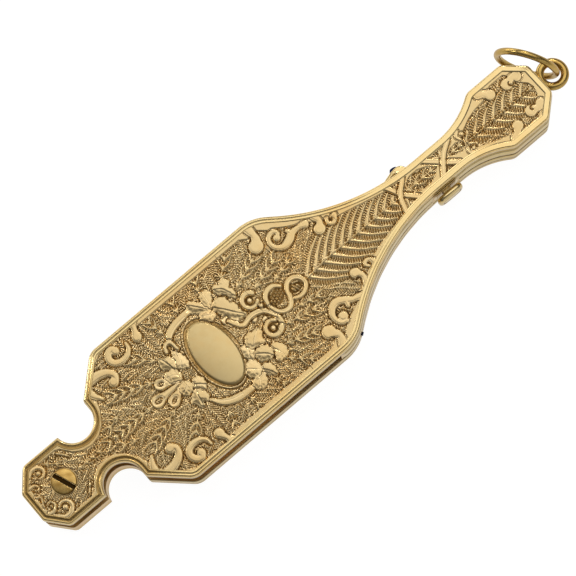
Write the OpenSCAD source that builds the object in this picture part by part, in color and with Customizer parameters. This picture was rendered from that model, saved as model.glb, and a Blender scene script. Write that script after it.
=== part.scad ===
// Folding lorgnette in its case: two chased covers on a pivot screw, a pair of
// framed lenses that swings out of the side slot and unfolds, a sprung catch
// with its push button in the neck, and a hanging ring on a bail.
// The part lies on its back. Its origin is the centre of the back cartouche,
// +X runs along the case towards the ring and +Z out of the front cover.

/* [Case] */
// Length of the straight sides of the lens box, corner to corner
body_length = 39.9; // [32:0.1:50]
// Width of the case over the lens box
body_width = 31.6; // [26:0.1:40]
// Distance from the pivot screw to the lower corners of the lens box
pivot_to_body = 19.3; // [17:0.1:24]
// Distance from the pivot screw to the centre of the cartouches
pivot_to_cartouche = 37.4; // [34:0.1:42]
// Thickness of the case between the outer edges of its two covers
edge_thickness = 8.4; // [7.6:0.1:11]
// Height that the rims and cartouches stand proud of the covers' edges
relief_height = 0.6; // [0.3:0.05:1]
// Thickness of each cover plate
plate = 0.9; // [0.6:0.05:1.3]
// Thickness of the side walls
wall = 0.8; // [0.5:0.05:1.1]
// Height of the back half's side wall above its outer edge
tray_height = 3.8; // [3.2:0.1:4.6]

/* [Pivot end] */
// Width across the flats of the pivot end
pivot_width = 14.5; // [12.5:0.1:18]
// Distance from the pivot screw to the end of the case
pivot_overhang = 7.65; // [6.5:0.05:9]
// Radius of the notches between the pivot end and the lens box
notch_radius = 4.1; // [3.4:0.1:5]
// Width of the waist left between the two notches
waist_width = 7.3; // [6:0.1:9]

/* [Neck and grip] */
// Length of the taper from the lens box to the neck
taper_length = 15.9; // [13:0.1:20]
// Width of the neck
neck_width = 7.4; // [6.6:0.1:9.5]
// Length of the neck between its two tapers
neck_length = 26.1; // [24:0.1:32]
// Width of the grip at the ring end
grip_width = 14.2; // [12:0.1:17]
// Length of the grip at the ring end
grip_length = 17.8; // [15:0.1:22]

/* [Lenses] */
// Width of each lens frame across the case
lens_height = 28.8; // [22:0.1:30]
// Corner radius of the lens frames
lens_corner = 11; // [6:0.1:13]
// Thickness of each lens frame
frame_thickness = 1.4; // [1.1:0.05:1.6]
// Width of the rim round each lens
rim_width = 1.3; // [1:0.05:2]
// Thickness of the glass
glass_thickness = 0.8; // [0.6:0.05:1]
// Depth that the glass enters its rim
glass_seat = 0.45; // [0.3:0.05:0.6]
// Gap from the far end of the lens to the bridge rivet
bridge_length = 7.2; // [6:0.1:10]

/* [Fasteners] */
// Diameter of the pivot screw's head
screw_head = 4.8; // [4:0.1:6]
// Diameter of the pivot screw's shank
screw_shank = 2.6; // [2:0.1:3.2]
// Width of the slot in the pivot screw's head
screw_slot = 0.85; // [0.5:0.05:1.1]
// Radial clearance of every part that turns or slides
run_clear = 0.05; // [0.03:0.01:0.09]

/* [Catch] */
// Travel of the push button and of the catch bolt
button_travel = 0.55; // [0.4:0.05:0.6]
// Length of the push button along the neck
button_length = 5.8; // [4.8:0.1:7]
// Height of the push button across the case's thickness
button_height = 4; // [3:0.1:5]

/* [Ring] */
// Outer diameter of the suspension ring
ring_diameter = 13.3; // [11:0.1:16]
// Wire diameter of the suspension ring
ring_wire = 1.36; // [1:0.02:1.7]
// Wire diameter of the bail
bail_wire = 1.64; // [1.2:0.02:2]
// Inner diameter of the bail
bail_bore = 3.26; // [2.9:0.02:4]

/* [Hidden] */
$fn = 64;
e = 0.02;

// Heights
z_back_edge = relief_height;
z_front_edge = z_back_edge + edge_thickness;
z_top = z_front_edge + relief_height;
z_floor = z_back_edge + plate;
z_ceiling = z_front_edge - plate;
z_ledge = z_back_edge + tray_height;
z_mid = (z_back_edge + z_front_edge) / 2;
layer_gap = (z_ceiling - z_ledge - 2 * frame_thickness) / 3;
z_lens_a = z_ledge + layer_gap;
z_lens_b = z_lens_a + frame_thickness + layer_gap;

// Stations along the case
pivot_x = -pivot_to_cartouche;
body_x0 = pivot_x + pivot_to_body;
body_x1 = body_x0 + body_length;
neck_x0 = body_x1 + taper_length;
neck_x1 = neck_x0 + neck_length;
grip_x0 = neck_x1 + (grip_width - neck_width) / 2 * 1.54;
end_x = neck_x1 + grip_length;
end_half = grip_width * 0.243;
grip_x1 = end_x - (grip_width / 2 - end_half) * 1.11;
notch_x = pivot_x + 8.4;
notch_y = waist_width / 2 + notch_radius;
tip_x = notch_x + notch_radius;
tip_y = notch_y + 1.65;
slot_x1 = body_x1 - 4.1;
slot_x0 = tip_x - 1;

// Lens pair
reach = pivot_to_body + body_length - 4.7;
bridge_x = pivot_x + reach;
lens_y = -0.3;
lens_x0 = pivot_x + 13.4;
lens_x1 = bridge_x - bridge_length;
lens_cx = (lens_x0 + lens_x1) / 2;
lens_length = lens_x1 - lens_x0;
lens_half = min(lens_height / 2, body_width / 2 - wall - 0.55);
bridge_r = 2.2;
tongue_r = reach + bridge_r;
boss_r = 4.4;
drive_r = 3.6;
drive_a = 20;

// Catch and button
bolt_x0 = pivot_x + tongue_r + 0.12;
button_x = neck_x0 + 16.7;
button_z = z_back_edge + 4;
button_gap = button_travel + 0.16;
cap_depth = 1.25;
stem_w = 1.7;
stem_h = 1.4;
bolt_w = 2.4;
bolt_h = 1.6;
bolt_z = button_z + 0.35;
pad_w = 3.6;
bolt_x1 = neck_x1 + 4.6;
spring_x = bolt_x1 + 0.1;

// Bail and ring
bail_mid = bail_bore / 2 + bail_wire / 2;
bail_x = end_x + bail_mid + bail_wire / 2 + 0.03;
bail_z = z_mid;
ring_mid = (ring_diameter - ring_wire) / 2;
ring_lean = 121.3;
ring_slack = -0.45;
ring_z = ring_diameter / 2 + 0.01;
ring_run = sqrt(ring_mid * ring_mid - (ring_z - bail_z) * (ring_z - bail_z));
ring_x = bail_x + (ring_slack + ring_run) * cos(ring_lean);
ring_y = (ring_slack + ring_run) * sin(ring_lean);

gold = [0.83, 0.68, 0.38];
pale_gold = [0.88, 0.76, 0.50];
dark_gold = [0.66, 0.52, 0.28];
steel = [0.55, 0.56, 0.58];
blued = [0.16, 0.17, 0.22];
lens_glass = [0.85, 0.93, 0.95, 0.35];

// Rounded corners: each vertex is [x, y, fillet radius]
function unit(v) = v / norm(v);
function turn(a, b, c) = let (u = unit(a - b), w = unit(c - b)) acos(max(-1, min(1, u * w)));
function corner(a, b, c, r) =
    let (u = unit(a - b), w = unit(c - b), t = turn(a, b, c),
         d = r / tan(t / 2), q = b + unit(u + w) * (r / sin(t / 2)),
         p0 = b + u * d, p1 = b + w * d,
         s0 = atan2(p0[1] - q[1], p0[0] - q[0]),
         s1 = atan2(p1[1] - q[1], p1[0] - q[0]),
         k = s1 - s0 > 180 ? s1 - s0 - 360 : (s1 - s0 < -180 ? s1 - s0 + 360 : s1 - s0),
         n = max(2, ceil(abs(k) / 7)))
    [for (i = [0:n]) q + r * [cos(s0 + k * i / n), sin(s0 + k * i / n)]];
function xy(v) = [v[0], v[1]];
function filleted(p) =
    [for (i = [0:len(p) - 1])
        let (a = p[(i + len(p) - 1) % len(p)], b = p[i], c = p[(i + 1) % len(p)])
        each (b[2] > 0 ? corner(xy(a), xy(b), xy(c), b[2]) : [xy(b)])];
function mirrored(h) = concat([for (v = h) [v[0], -v[1], v[2]]],
                              [for (i = [len(h) - 1:-1:0]) h[i]]);

// One side of the case outline from the pivot end to the ring end
notch_start = 180 + asin((notch_y - pivot_width / 2) / notch_radius);
half_outline = [
    [pivot_x - pivot_overhang, pivot_width * 0.22, 1],
    [pivot_x - 4.2, pivot_width / 2, 1.4],
    for (i = [0:44]) let (a = notch_start + (360 - notch_start) * i / 44)
        [notch_x + notch_radius * cos(a), notch_y + notch_radius * sin(a), 0],
    [tip_x, tip_y, 0.3],
    [body_x0, body_width / 2, 3],
    [body_x1, body_width / 2, 9],
    [neck_x0, neck_width / 2, 44],
    [neck_x1, neck_width / 2, 17],
    [grip_x0, grip_width / 2, 2.5],
    [grip_x1, grip_width / 2, 1.5],
    [end_x, end_half, 1.2]];

module case_outline() {
    polygon(filleted(mirrored(half_outline)));
}

// Band that follows the outline between two insets
module edge_band(outer, inner) {
    difference() {
        if (outer == 0)
            case_outline();
        else
            offset(delta = -outer) case_outline();
        offset(delta = -inner) case_outline();
    }
}

// Plan area where the case is closed at its side: left, taper, neck and grip
module closed_side() {
    union() {
        translate([tip_x - 0.35, 0]) square([end_x + 5 - tip_x, body_width]);
        translate([slot_x1, -body_width]) square([end_x + 5 - slot_x1, body_width * 1.5]);
    }
}

// Rim of two fillets with a line cut between them
module raised_rim(z0, up) {
    low = relief_height * 0.7;
    high = relief_height * 0.88;
    translate([0, 0, up ? z0 - e : z0 - low]) linear_extrude(low + e)
        edge_band(0.12, 1.3);
    translate([0, 0, up ? z0 - e : z0 - high]) linear_extrude(high + e) {
        edge_band(0.12, 0.6);
        edge_band(0.76, 1.3);
    }
}

// Openwork of the button: a slot through both halves of the neck's right side
module button_hole() {
    translate([button_x - stem_w / 2 - run_clear, -neck_width / 2 - 1, button_z - stem_h / 2 - run_clear])
        cube([stem_w + 2 * run_clear, neck_width / 2, stem_h + 2 * run_clear]);
}

module side_holes() {
    button_hole();
    translate([side_pin_x, side_pin_y, z_ledge - 0.9]) rotate([90, 0, side_pin_turn])
        cylinder(d = side_pin_d, h = 4, center = true, $fn = 24);
}

// Bosses on the plates that receive pillars and rivets
pillar_d = 2.2;
rivet_d = 1;
pillar_places = [[neck_x1 + 13, grip_width / 2 - 2.9], [neck_x1 + 13, 2.9 - grip_width / 2],
                 [body_x1 - 0.3, body_width / 2 - 4.5], [body_x1 - 0.3, 4.5 - body_width / 2]];
guide_places = [body_x1 + 6.5, neck_x0 + 6.5];
rivet_places = [[guide_places[0], 2.7], [guide_places[0], -2.7],
                [body_x0 + 4.3, 7.5], [body_x0 + 7.8, 7.5],
                [neck_x1 + 12, -0.6]];
side_pin_x = body_x1 + 1.63;
side_pin_y = -body_width / 2 + 2.11;
side_pin_turn = 34;
side_pin_d = 0.8;

module front_cover() {
    color(gold)
    difference() {
        union() {
            translate([0, 0, z_ceiling]) linear_extrude(plate) case_outline();
            raised_rim(z_front_edge, true);
            translate([0, 0, z_ledge]) linear_extrude(z_ceiling - z_ledge + e)
                intersection() {
                    edge_band(0, wall);
                    closed_side();
                }
        }
        // seat of the screw head and its shank hole
        translate([pivot_x, 0, z_front_edge - 0.35]) cylinder(d = screw_head + 0.2, h = 2);
        translate([pivot_x, 0, z_ceiling - 1]) cylinder(d = screw_shank + 2 * run_clear, h = 3);
        // bed of the cartouche
        translate([0, 0, z_front_edge - 0.25]) cartouche_blank(0.04, 2);
        // sunk panel of the grip
        translate([0, 0, z_front_edge - 0.2]) linear_extrude(1) grip_panel();
        side_holes();
    }
}

module grip_panel() {
    polygon(filleted(mirrored([
        [neck_x1 + 1.6, 0.6, 0.3],
        [grip_x0 + 1.4, grip_width / 2 - 2.6, 1.5],
        [grip_x1 - 0.8, grip_width / 2 - 2.6, 1.5],
        [end_x - 3.2, end_half - 0.8, 1]])));
}

module back_cover() {
    color(gold)
    difference() {
        union() {
            translate([0, 0, z_back_edge]) linear_extrude(plate) case_outline();
            raised_rim(z_back_edge, false);
            translate([0, 0, z_floor - e]) linear_extrude(z_ledge - z_floor + e)
                edge_band(0, wall);
        }
        translate([pivot_x, 0, -1]) cylinder(d = 3.6, h = 4);
        translate([0, 0, z_back_edge + 0.25]) mirror([0, 0, 1]) cartouche_blank(0.04, 2);
        translate([0, 0, z_back_edge - 0.8]) linear_extrude(1) grip_panel();
        for (p = rivet_places)
            translate([p[0], p[1], z_floor - 0.4]) cylinder(d = rivet_d, h = 2, $fn = 24);
        side_holes();
    }
}

// Oval lozenge, long across the case
cartouche_half_x = 4.05;
cartouche_half_y = 7.3;
module cartouche_blank(grow, h) {
    n = 72;
    linear_extrude(h)
        polygon([for (i = [0:n - 1]) [(cartouche_half_x + grow) * cos(i * 360 / n),
                                      (cartouche_half_y + grow) * sin(i * 360 / n)]]);
}
module cartouche_plate() {
    h = relief_height + 0.25;
    cartouche_blank(-0.01, h - 0.18);
    translate([0, 0, h - 0.19]) cartouche_blank(-0.3, 0.19);
}

module front_cartouche() {
    color(pale_gold)
        translate([0, 0, z_front_edge - 0.25]) cartouche_plate();
}

module back_cartouche() {
    color(pale_gold)
        translate([0, 0, z_back_edge + 0.25]) mirror([0, 0, 1]) cartouche_plate();
}

// Slotted screw through the covers and the boss of the first lens frame
module pivot_screw() {
    color(pale_gold)
    translate([pivot_x, 0, 0])
    difference() {
        union() {
            translate([0, 0, z_front_edge - 0.33]) cylinder(d = screw_head, h = 0.75);
            translate([0, 0, z_front_edge + 0.41]) cylinder(d1 = screw_head, d2 = screw_head - 0.5, h = 0.17);
            translate([0, 0, 0.9]) cylinder(d = screw_shank, h = z_front_edge - 1);
        }
        translate([0, 0, z_front_edge + 0.4]) rotate([0, 0, -70])
            cube([screw_head + 1, screw_slot, 1.1], center = true);
    }
}

// Bush threaded on the screw: a flush disc on the back and a pillar inside
module pivot_bush() {
    color(dark_gold)
    translate([pivot_x, 0, 0])
    difference() {
        union() {
            translate([0, 0, 0.15]) cylinder(d = 3.5, h = z_floor - 0.1);
            translate([0, 0, z_floor + 0.01]) cylinder(d = 5, h = z_ledge - z_floor - 0.05);
        }
        translate([0, 0, 0.85]) cylinder(d = screw_shank + 2 * run_clear, h = 8);
    }
}

// A steel washer under and over the boss
module pivot_washers() {
    color(steel)
    for (z = [z_ledge - 0.02, z_ceiling - 0.26])
        translate([pivot_x, 0, z])
        difference() {
            cylinder(d = 5.8, h = 0.24);
            translate([0, 0, -1]) cylinder(d = screw_shank + 2 * run_clear + 0.1, h = 3);
        }
}

// Plan of a lens, grown by the given amount
module lens_plan(grow) {
    x0 = lens_x0 - grow;
    x1 = lens_x1 + grow;
    y = lens_half + grow;
    r = lens_corner + grow;
    translate([0, lens_y])
        polygon(filleted([[x0, -y, r], [x1, -y, r], [x1, y, r], [x0, y, r]]));
}

// Rim with the groove that the glass sits in
module lens_rim(z) {
    groove = glass_thickness + 0.06;
    difference() {
        translate([0, 0, z]) linear_extrude(frame_thickness) lens_plan(0);
        translate([0, 0, z - 1]) linear_extrude(4) lens_plan(-rim_width);
        translate([0, 0, z + (frame_thickness - groove) / 2]) linear_extrude(groove)
            lens_plan(-rim_width + glass_seat + 0.03);
    }
}

module lens_glass_pane(z) {
    translate([0, 0, z + (frame_thickness - glass_thickness) / 2])
        linear_extrude(glass_thickness) lens_plan(-rim_width + glass_seat);
}

// Tapering arm from the rim to the bridge rivet
module bridge_arm(z) {
    translate([0, 0, z]) linear_extrude(frame_thickness)
        polygon([[lens_x1 - rim_width * 0.6, 3.4], [lens_x1 + 1.6, 1.9], [bridge_x, 1.5],
                 [bridge_x, -1.5], [lens_x1 + 1.6, -2.5], [lens_x1 - rim_width * 0.6, -4]]);
}

// Block that closes the split of a rim, beside the bridge
block_y = lens_half - lens_corner + 1.3;
block_w = 3.6;
module rim_block(z) {
    translate([lens_x1 - 0.7, block_y, z]) cube([2.2, block_w, frame_thickness]);
}
module rim_screw_hole(z) {
    translate([lens_x1 + 0.75, block_y + 0.4, z + frame_thickness / 2]) rotate([-90, 0, 0])
        cylinder(d = 0.72, h = block_w, $fn = 24);
}
module rim_split(z) {
    translate([lens_x1 - 3, block_y + block_w / 2 - 0.06, z - 1]) cube([6, 0.12, 4]);
}
module rim_screw(z) {
    translate([lens_x1 + 0.75, block_y + 0.45, z + frame_thickness / 2]) rotate([-90, 0, 0])
        cylinder(d = 0.68, h = block_w - 0.4, $fn = 24);
    translate([lens_x1 + 0.75, block_y + block_w + 0.02, z + frame_thickness / 2]) rotate([-90, 0, 0])
        cylinder(d = 1.15, h = 0.35, $fn = 24);
}

module lens_a_frame() {
    color(gold)
    difference() {
        union() {
            difference() {
                union() {
                    lens_rim(z_lens_a);
                    rim_block(z_lens_a);
                }
                translate([0, 0, z_lens_a - 1]) linear_extrude(4) lens_plan(-rim_width);
                lens_glass_space(z_lens_a);
            }
            bridge_arm(z_lens_a);
            translate([bridge_x, 0, z_lens_a]) cylinder(r = bridge_r, h = frame_thickness);
            // tail and boss on the pivot screw
            translate([0, 0, z_lens_a]) linear_extrude(frame_thickness)
                polygon([[pivot_x, 2.3], [lens_x0 - 1.2, 2.1], [lens_x0 + rim_width * 0.6, 3.3],
                         [lens_x0 + rim_width * 0.6, -3.9], [lens_x0 - 1.2, -2.5], [pivot_x, -2.3]]);
            translate([pivot_x, 0, z_lens_a]) cylinder(r = boss_r, h = frame_thickness);
            translate([pivot_x, 0, z_lens_a]) cylinder(r = 3.2, h = z_ceiling - 0.3 - z_lens_a);
        }
        translate([pivot_x, 0, 0]) cylinder(d = screw_shank + 2 * run_clear, h = 12);
        // rivet hole, spring bed and the catch's dimple in the bridge
        translate([bridge_x, 0, z_lens_a - 1]) cylinder(d = 1.3 + 2 * run_clear, h = 4, $fn = 48);
        translate([bridge_x, 0, z_lens_a + frame_thickness - 0.4]) difference() {
            cylinder(r = 1.72, h = 1, $fn = 48);
            translate([0, 0, -1]) cylinder(r = 0.95, h = 4, $fn = 48);
        }
        translate([pivot_x + tongue_r + 0.35, 0, z_lens_a - 1]) cylinder(r = 0.7, h = 4, $fn = 32);
        // seat of the drive pin
        translate([pivot_x + drive_r * cos(drive_a), drive_r * sin(drive_a), z_lens_a - 1])
            cylinder(d = 1, h = 2, $fn = 24);
        rim_screw_hole(z_lens_a);
        rim_split(z_lens_a);
    }
}

// Space the glass takes in its groove, with its assembly clearance
module lens_glass_space(z) {
    groove = glass_thickness + 0.06;
    translate([0, 0, z + (frame_thickness - groove) / 2]) linear_extrude(groove)
        lens_plan(-rim_width + glass_seat + 0.03);
}

module lens_b_frame() {
    color(gold)
    difference() {
        union() {
            difference() {
                union() {
                    lens_rim(z_lens_b);
                    rim_block(z_lens_b);
                }
                translate([0, 0, z_lens_b - 1]) linear_extrude(4) lens_plan(-rim_width);
                lens_glass_space(z_lens_b);
            }
            bridge_arm(z_lens_b);
            translate([bridge_x, 0, z_lens_b]) cylinder(r = bridge_r, h = frame_thickness);
        }
        translate([bridge_x, 0, z_lens_b - 1]) cylinder(d = 1.3 + 2 * run_clear, h = 4, $fn = 48);
        rim_screw_hole(z_lens_b);
        rim_split(z_lens_b);
    }
}

module lens_a_glass() {
    color(lens_glass) lens_glass_pane(z_lens_a);
}

module lens_b_glass() {
    color(lens_glass) lens_glass_pane(z_lens_b);
}

module lens_a_screw() {
    color(steel) rim_screw(z_lens_a);
}

module lens_b_screw() {
    color(steel) rim_screw(z_lens_b);
}

// Rivet that the two frames turn on, headed over on both faces
module bridge_rivet() {
    color(pale_gold)
    translate([bridge_x, 0, 0]) {
        translate([0, 0, z_lens_a - 0.22]) cylinder(d = 1.3, h = z_lens_b + frame_thickness - z_lens_a + 0.44, $fn = 48);
        translate([0, 0, z_lens_a - 0.25]) cylinder(d = 2.4, h = 0.23, $fn = 48);
        translate([0, 0, z_lens_b + frame_thickness + 0.02]) cylinder(d = 2.4, h = 0.23, $fn = 48);
    }
}

// Open ring spring that throws the second lens over
module bridge_spring() {
    color(blued)
    translate([bridge_x, 0, z_lens_a + frame_thickness - 0.38])
    difference() {
        cylinder(r = 1.66, h = 0.3, $fn = 48);
        translate([0, 0, -1]) cylinder(r = 1.1, h = 3, $fn = 48);
        translate([0.9, -0.3, -1]) cube([2, 0.6, 3]);
    }
}

// Pin under the boss that the mainspring pushes
module drive_pin() {
    color(steel)
    translate([pivot_x + drive_r * cos(drive_a), drive_r * sin(drive_a), z_floor + 0.5])
        cylinder(d = 0.96, h = z_lens_a + 0.9 - z_floor - 0.5, $fn = 24);
}

// Pin that stops the open lenses square to the case
stop_r = 5.9;
stop_a = -90 - asin((2.4 + 0.5 + 0.05) / stop_r);
module stop_pin() {
    color(steel)
    translate([pivot_x + stop_r * cos(stop_a), stop_r * sin(stop_a), z_floor])
        cylinder(d = 1, h = z_lens_a + frame_thickness - z_floor, $fn = 24);
}

// Flat steel spring on the left of the tray, its free end over the drive pin
module strip(a, b, t) {
    d = norm(b - a);
    translate(a) rotate([0, 0, atan2(b[1] - a[1], b[0] - a[0])])
        translate([-t / 2, -t / 2]) square([d + t, t]);
}
module mainspring() {
    foot = [body_x0 + 2.6, 6.6];
    bend = [tip_x + 1.9, 2.5];
    tip = [pivot_x + drive_r * cos(drive_a) - 0.3, drive_r * sin(drive_a) + 0.48 + 0.25];
    color(blued)
    difference() {
        union() {
            translate([foot[0], foot[1], z_floor]) cube([7, 1.8, 2.2]);
            translate([0, 0, z_floor + 0.3]) linear_extrude(1.9)
                union() {
                    strip(foot + [0.2, 0.2], bend, 0.32);
                    strip(bend, tip, 0.32);
                }
        }
        for (x = [body_x0 + 4.3, body_x0 + 7.8])
            translate([x, 7.5, 0]) cylinder(d = 1.02, h = 9, $fn = 24);
    }
}

// Small rivets that hold the guide, the mainspring and the catch spring
module tray_rivets() {
    color(steel)
    for (i = [0:len(rivet_places) - 1])
        translate([rivet_places[i][0], rivet_places[i][1], 0]) {
            translate([0, 0, z_floor - 0.39])
                cylinder(d = rivet_d - 0.02, h = 0.39 + rivet_reach(i), $fn = 24);
            translate([0, 0, z_floor + rivet_reach(i) + 0.01])
                cylinder(d = 1.7, h = 0.35, $fn = 24);
            translate([0, 0, z_floor + rivet_reach(i) - 0.2])
                cylinder(d = rivet_d - 0.02, h = 0.3, $fn = 24);
            if (i == 4)
                translate([0, 0, z_floor]) cylinder(d = 2, h = bolt_z - 0.72 - z_floor, $fn = 24);
        }
}
function rivet_reach(i) = i < 2 ? 0.8 : (i < 4 ? 2.2 : bolt_z + 0.7 - z_floor);

// Sliding bolt: its nose rests in the dimple, its pad carries the cam slope
pad_x0 = button_x - 2.9;
cam_top = -pad_w / 2 + 1.75;
module catch_bolt() {
    color(pale_gold)
    translate([0, 0, bolt_z - bolt_h / 2])
    linear_extrude(bolt_h)
    difference() {
        union() {
            translate([bolt_x0 + 0.6, 0]) circle(r = 0.6, $fn = 32);
            translate([bolt_x0 + 0.6, -0.6]) square([2, 1.2]);
            translate([bolt_x0 + 2, -bolt_w / 2]) square([bolt_x1 - bolt_x0 - 2, bolt_w]);
            translate([pad_x0, -pad_w / 2]) square([6.2, pad_w]);
        }
        polygon([[button_x - stem_w / 2 - button_travel - 0.1, -pad_w / 2 - 1],
                 [button_x - stem_w / 2 - button_travel - 0.1, cam_top],
                 [button_x + stem_w / 2 - 1.4, cam_top],
                 [button_x + stem_w / 2 + 0.35, cam_top - 1.75],
                 [button_x + stem_w / 2 + 0.35, -pad_w / 2 - 1]]);
    }
}

// Two bridges in the tray that the bolt slides through
module catch_guides() {
    color(dark_gold)
    for (i = [0, 1]) {
        w = i == 0 ? 8 : neck_width - 2 * wall - 0.3;
        translate([guide_places[i], 0, 0])
        difference() {
            translate([-1.3, -w / 2, z_floor]) cube([2.6, w, bolt_z + bolt_h / 2 + 0.6 - z_floor]);
            translate([-3, -bolt_w / 2 - run_clear, bolt_z - bolt_h / 2 - run_clear])
                cube([6, bolt_w + 2 * run_clear, bolt_h + 2 * run_clear]);
            if (i == 0) {
                for (s = [-1, 1]) {
                    translate([0, s * 2.7, z_floor - 1]) cylinder(d = rivet_d, h = 6, $fn = 24);
                    translate([-3, s > 0 ? 1.75 : -w / 2 - 1, z_floor + 0.8])
                        cube([6, w / 2 - 0.75, 9]);
                }
            }
        }
    }
}

// Hairpin spring behind the bolt
module catch_spring() {
    foot = rivet_places[4];
    color(blued)
    translate([0, 0, bolt_z - 0.7])
    linear_extrude(1.4)
    difference() {
        union() {
            translate([spring_x, -1.6]) square([0.3, 4]);
            translate([spring_x + 1.6, 2.39]) difference() {
                circle(r = 1.6, $fn = 48);
                circle(r = 1.3, $fn = 48);
                translate([-3, -3]) square([6, 3]);
            }
            translate([spring_x + 2.9, -0.75]) square([0.3, 3.15]);
            translate([spring_x + 2.9, -0.75]) square([foot[0] - spring_x - 2.9, 0.3]);
            translate([foot[0] - 1.2, foot[1] - 1.1]) square([2.4, 2.2]);
        }
        translate(foot) circle(d = 1.02, $fn = 24);
    }
}

// Push button: ribbed cap, stem and cam wedge in one piece
module push_button() {
    y_in = -neck_width / 2 - button_gap;
    color(pale_gold)
    union() {
        difference() {
            translate([button_x, y_in, button_z]) rotate([90, 0, 0])
                linear_extrude(cap_depth)
                    polygon(filleted([[-button_length / 2, -button_height / 2, 1.5],
                                      [button_length / 2, -button_height / 2, 1.5],
                                      [button_length / 2, button_height / 2, 1.5],
                                      [-button_length / 2, button_height / 2, 1.5]]));
            for (z = [-0.75, 0.75])
                translate([button_x, y_in - cap_depth, button_z + z]) rotate([0, 90, 0])
                    cylinder(d = 0.5, h = button_length + 1, center = true, $fn = 24);
        }
        translate([button_x - stem_w / 2, y_in - 0.3, button_z - stem_h / 2])
            cube([stem_w, -pad_w / 2 - 0.1 - y_in + 0.3, stem_h]);
        translate([0, 0, button_z - stem_h / 2 + 0.1]) linear_extrude(stem_h - 0.1)
            polygon([[button_x - stem_w / 2, -pad_w / 2 - 0.4],
                     [button_x - stem_w / 2, cam_top - 0.75],
                     [button_x + stem_w / 2 - 0.7, cam_top - 0.75],
                     [button_x + stem_w / 2, cam_top - 1.45],
                     [button_x + stem_w / 2, -pad_w / 2 - 0.4]]);
    }
}

// Bowed strip that returns the button
module button_spring() {
    color(blued)
    translate([button_x, -neck_width / 2 - 0.04, button_z])
        rotate([90, 0, 0])
        difference() {
            linear_extrude(0.12) square([4.6, 2.4], center = true);
            translate([0, 0, -1]) linear_extrude(4) square([stem_w + 0.4, stem_h + 0.3], center = true);
        }
}

// Rounded lug on the left of the neck, and the dark end of the spring in it
lug_x = neck_x0 + 11.7;
module side_lug() {
    color(gold)
    difference() {
        translate([lug_x, neck_width / 2 + 0.35 - 0.55, button_z + 0.3])
            rotate([0, 0, -18])
            linear_extrude(2.8, center = true)
                polygon(filleted([[-2.1, -0.5, 0.2], [2.1, -0.5, 0.2], [1.5, 0.75, 0.5], [-1.5, 0.75, 0.5]]));
        translate([0, 0, -1]) linear_extrude(20) case_outline();
    }
}
module side_lug_tip() {
    color(blued)
    difference() {
        translate([lug_x - 0.4, neck_width / 2 + 0.6, button_z - 1.6])
            rotate([0, 0, -22])
            linear_extrude(1, center = true)
                polygon(filleted([[-1.3, -0.6, 0.2], [1.3, -0.6, 0.2], [0.8, 0.75, 0.45], [-0.8, 0.75, 0.45]]));
        translate([0, 0, -1]) linear_extrude(20) case_outline();
    }
}

// Pillars that join the two covers
module case_pillars() {
    color(dark_gold)
    for (p = pillar_places)
        translate([p[0], p[1], z_floor])
            cylinder(d = pillar_d, h = z_ceiling - z_floor, $fn = 32);
}

// Cross pin whose end shows where the side slot stops
module side_pin() {
    color(blued)
    translate([side_pin_x, side_pin_y, z_ledge - 0.9]) rotate([90, 0, side_pin_turn])
        cylinder(d = side_pin_d - 0.02, h = 2.2, center = true, $fn = 24);
}

// Loop and collar at the end wall
module bail_post() {
    color(dark_gold)
    difference() {
        translate([end_x, 0, bail_z]) rotate([0, 90, 0]) cylinder(d = 2.6, h = 0.5);
        translate([bail_x, 0, bail_z])
            rotate_extrude() translate([bail_mid, 0]) circle(d = bail_wire + 0.04, $fn = 32);
    }
}

module bail_loop() {
    color(dark_gold)
    translate([bail_x, 0, bail_z])
        rotate_extrude() translate([bail_mid, 0]) circle(d = bail_wire, $fn = 32);
}

module suspension_ring() {
    color(dark_gold)
    translate([ring_x, ring_y, ring_z])
        rotate([90, 0, ring_lean])
            rotate_extrude($fn = 96) translate([ring_mid, 0]) circle(d = ring_wire, $fn = 32);
}

front_cover();
back_cover();
front_cartouche();
back_cartouche();
pivot_screw();
pivot_bush();
pivot_washers();
lens_a_frame();
lens_a_glass();
lens_b_frame();
lens_b_glass();
lens_a_screw();
lens_b_screw();
bridge_rivet();
bridge_spring();
drive_pin();
stop_pin();
mainspring();
tray_rivets();
catch_bolt();
catch_guides();
catch_spring();
push_button();
button_spring();
side_lug();
side_lug_tip();
case_pillars();
side_pin();
bail_loop();
bail_post();
suspension_ring();
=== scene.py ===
import math

import bpy
import numpy as np
from mathutils import Matrix, Vector


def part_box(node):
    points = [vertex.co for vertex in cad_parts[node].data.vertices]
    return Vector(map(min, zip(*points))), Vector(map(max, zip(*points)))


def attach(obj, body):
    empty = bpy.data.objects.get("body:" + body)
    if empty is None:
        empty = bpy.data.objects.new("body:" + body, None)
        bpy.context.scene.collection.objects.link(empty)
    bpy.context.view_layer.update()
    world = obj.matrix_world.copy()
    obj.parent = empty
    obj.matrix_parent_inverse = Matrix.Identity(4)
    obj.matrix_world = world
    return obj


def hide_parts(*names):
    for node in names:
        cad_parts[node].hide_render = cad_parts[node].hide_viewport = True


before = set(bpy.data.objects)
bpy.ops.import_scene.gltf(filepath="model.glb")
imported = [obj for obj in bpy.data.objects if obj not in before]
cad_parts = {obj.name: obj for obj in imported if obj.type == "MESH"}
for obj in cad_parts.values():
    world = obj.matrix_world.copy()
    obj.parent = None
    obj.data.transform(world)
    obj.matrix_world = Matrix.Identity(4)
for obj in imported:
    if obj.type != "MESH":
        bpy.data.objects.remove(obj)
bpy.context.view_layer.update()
MM = 0.001
FAR = 1e9

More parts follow.
